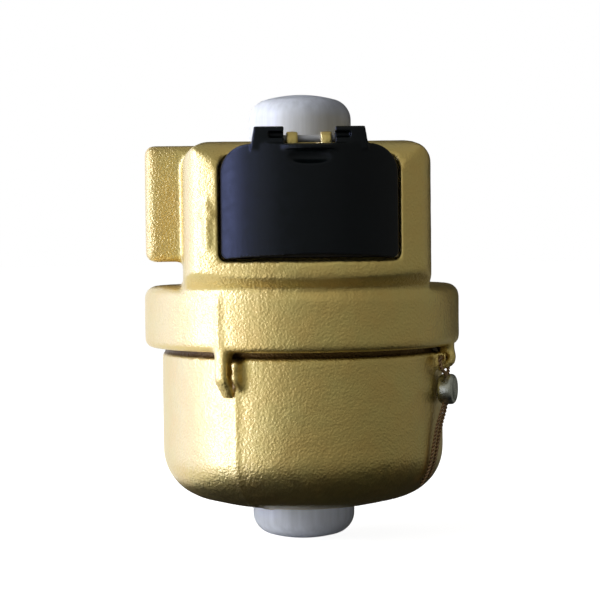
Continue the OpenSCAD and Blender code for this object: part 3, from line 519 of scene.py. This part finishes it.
@dataclass(frozen=True)
class ClearGlass:
    """Clear window with a faint smear."""

    name: str = "window_glass"
    tint: Colour = (0.95, 0.98, 0.98)
    ior: float = 1.5
    smear_size: float = 8 * MM
    roughness: tuple[float, float] = (0.02, 0.08)

    def material(self) -> bpy.types.Material:
        """Makes the material.

        Returns:
            The new material.
        """
        sheet = NodeSheet(self.name)
        sheet.set("Base Color", (*self.tint, 1))
        sheet.set("Transmission Weight", 1.0)
        sheet.set("IOR", self.ior)
        smear = sheet.noise(self.smear_size, detail=2)
        sheet.set("Roughness", sheet.spread(smear, *self.roughness))
        return sheet.material


Finish = SandCastBrass | Moulding | BareMetal | ClearGlass


def made(finish: Finish) -> bpy.types.Material:
    """Field of a dataclass that holds a finish's material."""
    return field(default_factory=finish.material)


@dataclass
class Finishes:
    """Every material of the meter, made once."""

    brass: bpy.types.Material = made(SandCastBrass())
    black: bpy.types.Material = made(
        Moulding(
            "lid_black", (0.001, 0.002, 0.002), roughness=0.34, shift=0.2, sheen=0.29,
            sheen_tint=(0.72, 0.78, 1.0), crown=0.3,
        )
    )
    drum_black: bpy.types.Material = made(Moulding("drum_black", (0.012, 0.012, 0.013), roughness=0.4))
    milky: bpy.types.Material = made(
        Moulding(
            "milky_cap", (0.68, 0.72, 0.83), roughness=0.34, grain=0.9 * MM, depth=0.05 * MM,
            shift=0.09, tone_size=1.6 * MM, stretch=(1, 1, 0.05), glow=0.15,
        )
    )
    white: bpy.types.Material = made(Moulding("white_moulding", (0.80, 0.79, 0.74)))
    grey: bpy.types.Material = made(Moulding("piston_grey", (0.17, 0.17, 0.18), roughness=0.4))
    case: bpy.types.Material = made(Moulding("register_case", (0.74, 0.75, 0.77)))
    red: bpy.types.Material = made(Moulding("drum_red", (0.52, 0.04, 0.03), roughness=0.4))
    ink: bpy.types.Material = made(Moulding("dial_ink", (0.02, 0.02, 0.02), roughness=0.6))
    dial: bpy.types.Material = made(Moulding("dial_white", (0.82, 0.82, 0.79), roughness=0.5))
    rubber: bpy.types.Material = made(Moulding("seal_rubber", (0.03, 0.03, 0.03), roughness=0.7))
    glass: bpy.types.Material = made(ClearGlass())
    steel: bpy.types.Material = made(
        BareMetal(
            "drawn_steel", (0.62, 0.63, 0.65), roughness=0.3, stretch=(0.1, 1, 1)
        )
    )
    zinc: bpy.types.Material = made(
        Moulding(
            "zinc_plate", (0.46, 0.47, 0.49), roughness=0.4, stretch=(0.1, 1, 1)
        )
    )
    ferrite: bpy.types.Material = made(Moulding("magnet_ferrite", (0.09, 0.09, 0.10), roughness=0.55))
    lead: bpy.types.Material = made(
        BareMetal(
            "pressed_lead", (0.62, 0.66, 0.65), roughness=0.3, depth=0.08 * MM
        )
    )
    copper: bpy.types.Material = made(BareMetal("twisted_copper", (0.46, 0.31, 0.20), roughness=0.42))


def new_object(name: str, mesh: bpy.types.Mesh) -> bpy.types.Object:
    """Puts a mesh into the scene as a piece at the origin.

    Args:
        name: Name of the piece.
        mesh: Its mesh, in the frame.

    Returns:
        The new object.
    """
    piece = bpy.data.objects.new(name, mesh)
    bpy.context.scene.collection.objects.link(piece)
    return piece


def mesh_from(bm: bmesh.types.BMesh, name: str) -> bpy.types.Mesh:
    """Turns a finished bmesh into a smooth-shaded mesh and frees it.

    Args:
        bm: The shape.
        name: Name of the mesh.

    Returns:
        The new mesh.
    """
    mesh = bpy.data.meshes.new(name)
    bm.to_mesh(mesh)
    bm.free()
    mesh.shade_smooth()
    return mesh


def baked(piece: bpy.types.Object) -> bpy.types.Object:
    """Replaces a piece's mesh by what its modifiers make of it.

    Args:
        piece: Object with live modifiers.

    Returns:
        The same object, with no modifiers.
    """
    graph = bpy.context.evaluated_depsgraph_get()
    made = bpy.data.meshes.new_from_object(piece.evaluated_get(graph))
    old = piece.data
    piece.modifiers.clear()
    piece.data = made
    bpy.data.meshes.remove(old)
    made.shade_smooth()
    return piece


def dress(piece: bpy.types.Object, material: bpy.types.Material) -> None:
    """Gives a whole piece one material."""
    piece.data.materials.clear()
    piece.data.materials.append(material)


def settle(piece: bpy.types.Object, body: Body, slot: str, *nodes: str) -> bpy.types.Object:
    """Fixes a finished piece to its body and hides the solids that it stands for.

    Args:
        piece: The finished piece.
        body: Body that it rides on.
        slot: The record's material slot; not used.
        nodes: Solids that it replaces.

    Returns:
        The piece.
    """
    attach(piece, body.value)
    if nodes:
        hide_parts(*nodes)
    LOG.info("%s: %d faces on %s", piece.name, len(piece.data.polygons), body.value)
    return piece


@dataclass
class CastPiece:
    """A casting or moulding whose sharp solid gets the rounded edges that a mould leaves."""

    node: str
    voxel: float
    passes: int
    swell: float = 0.0
    swell_size: float = 3.5 * MM
    softness: float = 0.5
    weld: float = 1e-6

    def build(self, source: bpy.types.Object, material: bpy.types.Material) -> bpy.types.Object:
        """Copies the solid, melts its edges and raises its skin.

        Args:
            source: The solid's object in the frame.
            material: Finish of the piece.

        Returns:
            The new piece.
        """
        bm = bmesh.new()
        bm.from_mesh(source.data)
        bmesh.ops.remove_doubles(bm, verts=bm.verts, dist=self.weld)
        piece = new_object(f"{self.node}_cast", mesh_from(bm, f"{self.node}_cast"))
        melt = piece.modifiers.new("melt", "REMESH")
        melt.mode = "VOXEL"
        melt.voxel_size = self.voxel
        soften = piece.modifiers.new("soften", "SMOOTH")
        soften.factor = self.softness
        soften.iterations = self.passes
        if self.swell:
            self.add_swell(piece)
        baked(piece)
        dress(piece, material)
        return piece

    def add_swell(self, piece: bpy.types.Object) -> None:
        """Adds the gentle waves of a sand mould.

        Args:
            piece: The casting.
        """
        sand = bpy.data.textures.new(f"{self.node}_sand", "CLOUDS")
        sand.noise_scale = self.swell_size
        sand.noise_depth = 2
        wave = piece.modifiers.new("sand", "DISPLACE")
        wave.texture = sand
        wave.texture_coords = "LOCAL"
        wave.strength = self.swell
        wave.mid_level = 0.5


@dataclass
class PipeThread:
    """The G 3/4 thread on a pipe end, as one helical ridge on the plain spigot."""

    name: str
    low: float
    high: float
    root_r: float = 12.5 * MM
    crest_r: float = 13.2 * MM
    pitch: float = 1.814 * MM
    foot_share: float = 0.42
    crest_share: float = 0.1
    steps: int = 48

    def build(self, material: bpy.types.Material) -> bpy.types.Object:
        """Spins the ridge's section up the spigot.

        Args:
            material: Finish of the thread.

        Returns:
            The thread as a new piece.
        """
        half = self.foot_share * self.pitch
        flat = self.crest_share * self.pitch
        turns = (self.high - self.low - 2 * half) / self.pitch
        start = self.low + half
        bm = bmesh.new()
        section = [
            bm.verts.new((self.root_r, 0, start - half)),
            bm.verts.new((self.crest_r, 0, start - flat)),
            bm.verts.new((self.crest_r, 0, start + flat)),
            bm.verts.new((self.root_r, 0, start + half)),
        ]
        face = bm.faces.new(section)
        count = int(self.steps * turns)
        angle = 2 * math.pi * turns
        bmesh.ops.duplicate(bm, geom=[face])
        bmesh.ops.spin(
            bm, geom=[face], cent=(0, 0, 0), axis=(0, 0, 1), dvec=(0, 0, self.pitch * turns / count),
            angle=angle, steps=count,
        )
        bmesh.ops.remove_doubles(bm, verts=bm.verts, dist=WELD)
        bmesh.ops.recalc_face_normals(bm, faces=bm.faces)
        piece = new_object(self.name, mesh_from(bm, self.name))
        dress(piece, material)
        return piece


@dataclass
class LeadSeal:
    """Round lead seal, crimped on its two faces."""

    middle: Vector
    out: Vector
    radius: float = 4.2 * MM
    thickness: float = 4.4 * MM
    rim_r: float = 1.1 * MM
    rim_w: float = 0.8 * MM
    dent: float = 0.5 * MM
    sides: int = 48
    rim_steps: int = 5

    def build(self, material: bpy.types.Material) -> bpy.types.Object:
        """Presses the seal.

        Args:
            material: Finish of the seal.

        Returns:
            The seal as a new piece.
        """
        bm = bmesh.new()
        bmesh.ops.create_cone(
            bm, cap_ends=True, cap_tris=False, segments=self.sides, radius1=self.radius,
            radius2=self.radius, depth=self.thickness,
        )
        rims = [e for e in bm.edges if abs(e.verts[0].co.z - e.verts[1].co.z) < WELD]
        bmesh.ops.bevel(
            bm, geom=rims, offset=self.rim_r, offset_type="OFFSET", affect="EDGES",
            segments=self.rim_steps, profile=0.5, material=-1,
        )
        caps = [f for f in bm.faces if len(f.verts) > 4]
        bmesh.ops.inset_region(bm, faces=caps, thickness=self.rim_w, depth=0)
        bmesh.ops.translate(
            bm, vec=(0, 0, -self.dent), verts=[v for f in caps for v in f.verts if v.co.z > 0]
        )
        bmesh.ops.translate(
            bm, vec=(0, 0, self.dent), verts=[v for f in caps for v in f.verts if v.co.z < 0]
        )
        turn = self.out.to_track_quat("Z", "Y").to_matrix().to_4x4()
        bmesh.ops.transform(bm, matrix=Matrix.Translation(self.middle) @ turn, verts=bm.verts)
        bmesh.ops.triangulate(bm, faces=[f for f in bm.faces if len(f.verts) > 4])
        piece = new_object("lead_seal_pressed", mesh_from(bm, "lead_seal_pressed"))
        dress(piece, material)
        return piece


@dataclass
class SealWire:
    """Seal wire of two copper strands twisted together, on the route of its solid."""

    fin_angle: float = math.radians(68)
    diameter: float = 1.1 * MM
    pitch: float = 2.1 * MM
    step: float = 0.25 * MM
    # Points as along the bowl, out from the axis and up, in millimetres
    route: tuple[Triple, ...] = (
        (-7.2, 36.5, 11.8), (-7.5, 38.3, 15), (-7.3, 39.5, 19), (-6.4, 40.1, 23.5), (-4.7, 40.6, 28),
        (-2.7, 41.4, 32), (-1.1, 42.1, 35.5), (-0.8, 42.2, 39), (-1.2, 42.2, 41.6), (-2.4, 42.1, 42.4),
        (-4.3, 42, 43.1), (-5.2, 41.8, 44.3), (-5.4, 41.6, 45.6), (-4.8, 41.6, 46.4), (-3.4, 41.6, 46.5),
        (-1, 41.6, 46.5), (0.9, 41.6, 46.5), (2.1, 41.6, 46.4), (2.8, 41.6, 45.6), (2.7, 41.8, 44.3),
        (2.1, 42, 42.8), (1.1, 42.2, 41.4), (0.8, 42.2, 39), (0.6, 42.1, 35.5), (-0.9, 41.8, 32),
        (-2.9, 41.2, 28), (-4.6, 40.7, 23.5), (-5.6, 40.1, 19), (-5.6, 39, 15.5), (-5.2, 37.9, 13.2),
    )

    def out(self) -> Vector:
        """Direction from the pipe axis to the right lugs."""
        return Vector((math.sin(self.fin_angle), -math.cos(self.fin_angle), 0))

    def points(self) -> list[Vector]:
        """Puts the route into the frame.

        Returns:
            Its points, in metres.
        """
        along = Vector((math.cos(self.fin_angle), math.sin(self.fin_angle), 0))
        up = Vector((0, 0, 1))
        return [MM * (p[0] * along + p[1] * self.out() + p[2] * up) for p in self.route]

    def line(self) -> list[Vector]:
        """Draws a smooth curve through the route.

        Returns:
            Points close together on it.
        """
        knots = self.points()
        ends = [2 * knots[0] - knots[1], *knots, 2 * knots[-1] - knots[-2]]
        line = []
        for a, b, c, d in zip(ends, ends[1:], ends[2:], ends[3:]):
            count = max(2, round((c - b).length / self.step))
            for i in range(count):
                t = i / count
                line.append(
                    0.5 * (2 * b + (c - a) * t + (2 * a - 5 * b + 4 * c - d) * t * t
                           + (3 * b - a - 3 * c + d) * t ** 3)
                )
        return [*line, knots[-1]]

    def build(self, material: bpy.types.Material) -> tuple[bpy.types.Object, list[Vector]]:
        """Twists the two strands round the route.

        Args:
            material: Finish of the wire.

        Returns:
            The wire as a new piece, and its middle line.
        """
        line = self.line()
        strand = self.diameter / 4
        curve = bpy.data.curves.new("seal_wire_strands", "CURVE")
        curve.dimensions = "3D"
        curve.bevel_depth = strand
        curve.bevel_resolution = 2
        curve.use_fill_caps = True
        for half_turn in (0.0, math.pi):
            spline = curve.splines.new("POLY")
            spline.points.add(len(line) - 1)
            side = Vector((0, 0, 1)).cross(line[1] - line[0]).normalized()
            gone = 0.0
            for i, point in enumerate(line):
                ahead = (line[min(i + 1, len(line) - 1)] - line[max(i - 1, 0)]).normalized()
                side = (side - side.dot(ahead) * ahead).normalized()
                if i:
                    gone += (point - line[i - 1]).length
                turn = half_turn + 2 * math.pi * gone / self.pitch
                offset = strand * (math.cos(turn) * side + math.sin(turn) * ahead.cross(side))
                spline.points[i].co = (*(point + offset), 1)
        rope = bpy.data.objects.new("seal_wire_rope", curve)
        mesh = bpy.data.meshes.new_from_object(rope)
        bpy.data.objects.remove(rope)
        bpy.data.curves.remove(curve)
        mesh.shade_smooth()
        piece = new_object("seal_wire_twisted", mesh)
        dress(piece, material)
        return piece, line


@dataclass
class CounterPrint:
    """Figures on the number drums and lines on the dial."""

    figure_h: float = 2.7 * MM
    font_share: float = 1.35
    ink: float = 0.04 * MM
    row_edge: float = 1.3 * MM
    row_half_h: float = 4.6 * MM
    line_w: float = 0.35 * MM
    unit_size: float = 3.4 * MM
    unit_drop: float = 8 * MM

    def figure(self, text: str, size: float) -> bpy.types.Mesh:
        """A flat figure, centred on the origin.

        Args:
            text: The figure.
            size: Its font size in metres.

        Returns:
            The figure's mesh in X and Y, with the thickness of ink.
        """
        curve = bpy.data.curves.new("figure", "FONT")
        curve.body = text
        curve.size = size
        curve.align_x = "CENTER"
        curve.align_y = "CENTER"
        curve.extrude = self.ink / 2
        curve.resolution_u = 3
        holder = bpy.data.objects.new("figure", curve)
        mesh = bpy.data.meshes.new_from_object(holder)
        bpy.data.objects.remove(holder)
        bpy.data.curves.remove(curve)
        return mesh

    def drum_figures(self, number: int, material: bpy.types.Material) -> bpy.types.Object:
        """The ten figures round one drum, the nought at the front.

        Args:
            number: Which drum, counted from the worm wheel.
            material: Finish of the figures.

        Returns:
            The figures as one piece.
        """
        low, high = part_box(f"drum_{number}")
        middle = (low + high) / 2
        radius = (high.z - low.z) / 2
        bm = bmesh.new()
        for digit in range(FIGURES):
            mesh = self.figure(str(digit), self.figure_h * self.font_share)
            old = set(bm.verts)
            bm.from_mesh(mesh)
            bpy.data.meshes.remove(mesh)
            for vert in [v for v in bm.verts if v not in old]:
                angle = math.radians(360 / FIGURES * digit) - vert.co.y / radius
                reach = radius + vert.co.z
                vert.co = (
                    middle.x + vert.co.x,
                    middle.y - reach * math.cos(angle),
                    middle.z - reach * math.sin(angle),
                )
        bmesh.ops.remove_doubles(bm, verts=bm.verts, dist=WELD)
        bmesh.ops.recalc_face_normals(bm, faces=bm.faces)
        piece = new_object(f"drum_{number}_figures", mesh_from(bm, f"drum_{number}_figures"))
        dress(piece, material)
        return piece

    def dial_lines(self, material: bpy.types.Material) -> bpy.types.Object:
        """A printed frame round the drums' window and a unit mark.

        Args:
            material: Finish of the print.

        Returns:
            The print as one piece.
        """
        dial_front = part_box("dial_plate")[0].y
        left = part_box(f"drum_{DRUMS}")[0].x - self.row_edge
        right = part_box("drum_1")[1].x + self.row_edge
        middle_z = (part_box("drum_1")[0].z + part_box("drum_1")[1].z) / 2
        bm = bmesh.new()
        rim = bmesh.ops.create_grid(bm, x_segments=1, y_segments=1, size=0.5)["verts"]
        size = Matrix.Diagonal((right - left, 2 * self.row_half_h, 1, 1))
        bmesh.ops.transform(bm, matrix=size, verts=rim)
        inner = list(bm.faces)
        bmesh.ops.inset_region(
            bm, faces=inner, thickness=self.line_w, depth=0, use_boundary=True, use_even_offset=True
        )
        bmesh.ops.delete(bm, geom=inner, context="FACES")
        bmesh.ops.translate(bm, vec=((left + right) / 2, 0, 0), verts=bm.verts)
        mesh = self.figure("m3", self.unit_size)
        old = set(bm.verts)
        bm.from_mesh(mesh)
        bpy.data.meshes.remove(mesh)
        bmesh.ops.translate(
            bm, vec=(0, -self.unit_drop, 0), verts=[v for v in bm.verts if v not in old]
        )
        upright = Matrix.Rotation(math.pi / 2, 4, "X")
        stand = Matrix.Translation((0, dial_front - self.ink, middle_z)) @ upright
        bmesh.ops.transform(bm, matrix=stand, verts=bm.verts)
        piece = new_object("dial_print", mesh_from(bm, "dial_print"))
        dress(piece, material)
        return piece


@dataclass
class PhotoView:
    """The camera of the photograph: level with the head, a little to the left of the lid."""

    distance: float = 538 * MM
    height: float = 79.15 * MM
    yaw: float = math.radians(-3.2)
    roll: float = math.radians(-0.6)
    aim: Triple = (-0.5 * MM, 0, 62.2 * MM)
    lens: float = 114.0
    sensor: float = 36.0
    nearest: float = 0.01
    farthest: float = 50.0

    def build(self) -> None:
        """Makes the camera and gives it to the scene."""
        data = bpy.data.cameras.new("photo_view")
        data.lens = self.lens
        data.sensor_width = self.sensor
        camera = bpy.data.objects.new("photo_view", data)
        bpy.context.scene.collection.objects.link(camera)
        camera.location = (
            math.sin(self.yaw) * self.distance, -math.cos(self.yaw) * self.distance, self.height
        )
        look = Vector(self.aim) - camera.location
        turn = look.to_track_quat("-Z", "Y").to_matrix().to_4x4() @ Matrix.Rotation(self.roll, 4, "Z")
        camera.matrix_world = Matrix.Translation(camera.location) @ turn
        data.clip_start = self.nearest
        data.clip_end = self.farthest
        bpy.context.scene.camera = camera


@dataclass
class Studio:
    """Pale floor, white surroundings, a bright strip on the left and dim cards elsewhere."""

    floor_z: float
    middle: Vector
    key_power: float = 6.6
    fill_power: float = 0.8
    ambient: float = 0.09
    floor_half: float = 6.0
    floor_paint: float = 0.85
    floor_glow: float = 0.93
    low_lift: float = 0.6
    cool: Colour = (0.95, 1.04, 1.75)
    warm: Colour = (1.0, 0.97, 0.8)

    def build(self) -> None:
        """Makes the floor, the cards, the lamps and the world."""
        self.floor()
        self.flag("left_card", (-0.8, 0.12, 0.2), (0.5, 0.55), 1.3, self.cool)
        self.flag("left_strip", (-0.76, -0.26, 0.15), (0.07, 0.5), 7.5, self.cool)
        self.flag("right_flag", (0.55, -0.1, 0.2), (0.9, 0.9), 0.23, self.warm)
        self.flag("back_flag", (0.35, 0.55, 0.2), (0.6, 0.6), 0.03, self.warm)
        self.flag("front_flag", (0.1, -0.8, 0.2), (0.7, 0.7), 0.34, self.warm)
        self.flag("upper_card", (0, -0.69, 0.48), (0.6, 0.16), 0.5, self.warm)
        self.flag("top_flag", (0.15, 0.01, 0.9), (0.9, 0.8), 0.3, self.warm)
        self.low_flag("low_flag", size=1.2, place_x=1.15, shade=0.16)
        # Painted shadow: a near-black card round the foot, seen only in the metal, stands in for the
        # floor's shade under the meter
        self.low_flag("foot_shadow_card", size=0.07, place_x=0.02, shade=0.015)
        self.lamp("key", (-0.6, -0.12, 0.2), width=0.55, height=0.7, power=self.key_power)
        self.lamp("fill", (-0.35, -0.45, 0.75), width=0.5, height=0.5, power=self.fill_power)
        self.world()
        bpy.context.scene.view_settings.view_transform = "Standard"

    def plane(self, name: str, size: float) -> bpy.types.Object:
        """A flat square at the origin, marked as stage.

        Args:
            name: Name of the square.
            size: Half its side.

        Returns:
            The new square.
        """
        bm = bmesh.new()
        bmesh.ops.create_grid(bm, x_segments=1, y_segments=1, size=size)
        piece = new_object(name, mesh_from(bm, name))
        piece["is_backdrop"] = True
        return piece

    def floor(self) -> None:
        """Pale floor that keeps a soft shadow and is white to the camera."""
        floor = self.plane("floor", self.floor_half)
        floor.location.z = self.floor_z
        floor.visible_glossy = False
        material = bpy.data.materials.new("pale_floor")
        material.use_nodes = True
        tree = material.node_tree
        tree.nodes.clear()
        paint = tree.nodes.new("ShaderNodeBsdfDiffuse")
        paint.inputs["Color"].default_value = (*(3 * [self.floor_paint]), 1)
        shine = tree.nodes.new("ShaderNodeEmission")
        rays = tree.nodes.new("ShaderNodeLightPath")
        strength = tree.nodes.new("ShaderNodeMath")
        strength.operation = "MULTIPLY"
        strength.inputs[1].default_value = self.floor_glow
        both = tree.nodes.new("ShaderNodeAddShader")
        output = tree.nodes.new("ShaderNodeOutputMaterial")
        tree.links.new(self.seen(tree, rays), strength.inputs[0])
        tree.links.new(strength.outputs[0], shine.inputs["Strength"])
        tree.links.new(paint.outputs[0], both.inputs[0])
        tree.links.new(shine.outputs[0], both.inputs[1])
        tree.links.new(both.outputs[0], output.inputs["Surface"])
        dress(floor, material)

    def seen(self, tree: bpy.types.NodeTree, rays: bpy.types.Node) -> Socket:
        """One for rays that show the background: from the camera, off metal or through glass.

        Args:
            tree: Node tree of a material or the world.
            rays: Its Light Path node.

        Returns:
            The largest of the three.
        """
        largest = rays.outputs["Is Camera Ray"]
        for name in ("Is Glossy Ray", "Is Transmission Ray"):
            pick = tree.nodes.new("ShaderNodeMath")
            pick.operation = "MAXIMUM"
            tree.links.new(largest, pick.inputs[0])
            tree.links.new(rays.outputs[name], pick.inputs[1])
            largest = pick.outputs[0]
        return largest

    def card(self, piece: bpy.types.Object, shade: float, tint: Colour) -> None:
        """Makes a plane a card that only shows in metal and plastic.

        Args:
            piece: The plane.
            shade: Its brightness.
            tint: Its colour.
        """
        piece.visible_camera = False
        piece.visible_diffuse = False
        piece.visible_shadow = False
        piece.visible_transmission = False
        material = bpy.data.materials.new(f"{piece.name}_card")
        material.use_nodes = True
        tree = material.node_tree
        tree.nodes.clear()
        shine = tree.nodes.new("ShaderNodeEmission")
        shine.inputs["Color"].default_value = (*tint, 1)
        shine.inputs["Strength"].default_value = shade
        output = tree.nodes.new("ShaderNodeOutputMaterial")
        tree.links.new(shine.outputs[0], output.inputs["Surface"])
        dress(piece, material)

    def flag(
        self, name: str, place: Triple, size: tuple[float, float], shade: float, tint: Colour,
    ) -> None:
        """A card that faces the meter and shows in its metal.

        Args:
            name: Name of the card.
            place: Its middle.
            size: Half its width and half its height.
            shade: Its brightness, above one for a softbox.
            tint: Its colour.
        """
        card = self.plane(name, 1.0)
        turn = (self.middle - Vector(place)).to_track_quat("Z", "Y").to_matrix().to_4x4()
        card.matrix_world = Matrix.Translation(place) @ turn @ Matrix.Diagonal((*size, 1, 1))
        self.card(card, shade, tint)

    def low_flag(self, name: str, size: float, place_x: float, shade: float) -> None:
        """A card on the floor, for the undersides of the metal.

        Args:
            name: Name of the card.
            size: Half its side.
            place_x: Its middle along X.
            shade: Its brightness, the darker card lying on top.
        """
        card = self.plane(name, size)
        card.location = (place_x, 0, self.floor_z + (self.low_lift - shade) * MM)
        self.card(card, shade, self.warm)

    def lamp(self, name: str, place: Triple, width: float, height: float, power: float) -> None:
        """A soft rectangular lamp aimed at the meter.

        Args:
            name: Name of the lamp.
            place: Its middle.
            width: Its width.
            height: Its height.
            power: Its power in watts.
        """
        data = bpy.data.lights.new(name, "AREA")
        data.shape = "RECTANGLE"
        data.size = width
        data.size_y = height
        data.energy = power
        lamp = bpy.data.objects.new(name, data)
        bpy.context.scene.collection.objects.link(lamp)
        lamp.location = place
        lamp.rotation_mode = "QUATERNION"
        lamp.rotation_quaternion = (self.middle - lamp.location).to_track_quat("-Z", "Y")
        lamp.visible_glossy = False

    def world(self) -> None:
        """White to the camera and in reflections, dim as a light."""
        world = bpy.data.worlds.new("studio_world")
        bpy.context.scene.world = world
        world.use_nodes = True
        tree = world.node_tree
        tree.nodes.clear()
        rays = tree.nodes.new("ShaderNodeLightPath")
        level = tree.nodes.new("ShaderNodeMapRange")
        level.inputs["To Min"].default_value = self.ambient
        level.inputs["To Max"].default_value = 1.0
        sky = tree.nodes.new("ShaderNodeBackground")
        sky.inputs["Color"].default_value = (1, 1, 1, 1)
        output = tree.nodes.new("ShaderNodeOutputWorld")
        tree.links.new(self.seen(tree, rays), level.inputs["Value"])
        tree.links.new(level.outputs["Result"], sky.inputs["Strength"])
        tree.links.new(sky.outputs[0], output.inputs["Surface"])


@dataclass
class WaterMeter:
    """The whole meter: castings, lid, seal, wire, threads and register print."""

    frame: dict
    finishes: Finishes
    thread_lead: float = 1.5 * MM
    inlet_thread: float = 6.2 * MM
    outlet_thread: float = 8.6 * MM

    def node(self, name: str) -> bpy.types.Object:
        """A solid's object in the frame."""
        return self.frame["nodes"][name]

    def castings(self) -> None:
        """Head, bowl and lid with the soft edges of their moulds."""
        head = CastPiece("head_casting", voxel=0.735 * MM, passes=4, swell=0.1 * MM)
        bowl = CastPiece("bowl_casting", voxel=0.72 * MM, passes=3, swell=0.1 * MM)
        lid = CastPiece("lid", voxel=0.3 * MM, passes=4)
        for cast in (head, bowl):
            piece = cast.build(self.node(cast.node), self.finishes.brass)
            settle(piece, Body.METER, "brass", cast.node)
        settle(lid.build(self.node("lid"), self.finishes.black), Body.LID, "black_plastic", "lid")

    def threads(self) -> None:
        """Threads on both pipe ends, under the caps."""
        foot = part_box("bowl_casting")[0].z
        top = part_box("head_casting")[1].z
        inlet = PipeThread("inlet_thread_ridge", foot + self.thread_lead, foot + self.inlet_thread)
        outlet = PipeThread("outlet_thread_ridge", top - self.outlet_thread, top - self.thread_lead)
        for thread in (inlet, outlet):
            settle(thread.build(self.finishes.brass), Body.METER, "brass")

    def seal(self) -> None:
        """Lead seal and its twisted wire."""
        wire = SealWire()
        low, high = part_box("lead_seal")
        lead = LeadSeal((low + high) / 2, wire.out()).build(self.finishes.lead)
        settle(lead, Body.METER, "lead", "lead_seal")
        rope, line = wire.build(self.finishes.copper)
        settle(rope, Body.METER, "copper", "seal_wire")

    def register(self) -> None:
        """Figures on the drums and print on the dial."""
        print_work = CounterPrint()
        for number in range(1, DRUMS + 1):
            figures = print_work.drum_figures(number, self.finishes.dial)
            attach(figures, f"drum_{number}_body")
            LOG.info("%s: %d faces", figures.name, len(figures.data.polygons))
        settle(print_work.dial_lines(self.finishes.ink), Body.METER, "black_plastic")

    def plain_nodes(self) -> None:
        """Finishes of the solids that stay as they are."""
        finish = self.finishes
        red_drums = [f"drum_{n}" for n in range(1, RED_DRUMS + 1)]
        black_drums = [f"drum_{n}" for n in range(RED_DRUMS + 1, DRUMS + 1)]
        by_material = (
            (finish.milky, ("inlet_cap", "outlet_cap")),
            (finish.steel, ("drum_shaft", "divider_plate")),
            (finish.zinc, ("hinge_pin",)),
            (finish.rubber, ("body_seal", "chamber_seal", "window_gasket")),
            (finish.white, (
                "inlet_strainer", "measuring_chamber", "chamber_cover", "drive_spindle", "drive_bearing",
                "gear_frame", "follower_spindle", "idler_gear", "worm_shaft", "worm_wheel",
            )),
            (finish.grey, ("rotary_piston",)),
            (finish.ferrite, ("drive_magnet", "follower_magnet")),
            (finish.case, ("register_case",)),
            (finish.dial, ("dial_plate",)),
            (finish.glass, ("register_window",)),
            (finish.drum_black, ("register_bezel", *black_drums)),
            (finish.red, red_drums),
        )
        for material, names in by_material:
            for name in names:
                dress(self.node(name), material)
                LOG.info("%s: solid with %s", name, material.name)

    def build(self) -> None:
        """Builds every piece."""
        self.seal()
        self.castings()
        self.threads()
        self.register()
        self.plain_nodes()


def main() -> None:
    """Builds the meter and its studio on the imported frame."""
    logging.basicConfig(level=logging.INFO, format="%(name)s: %(message)s")
    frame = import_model()
    cad_low, cad_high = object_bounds()
    PhotoView().build()
    WaterMeter(frame, Finishes()).build()
    Studio(cad_low.z, (cad_low + cad_high) / 2).build()


if __name__ == "__main__":
    main()
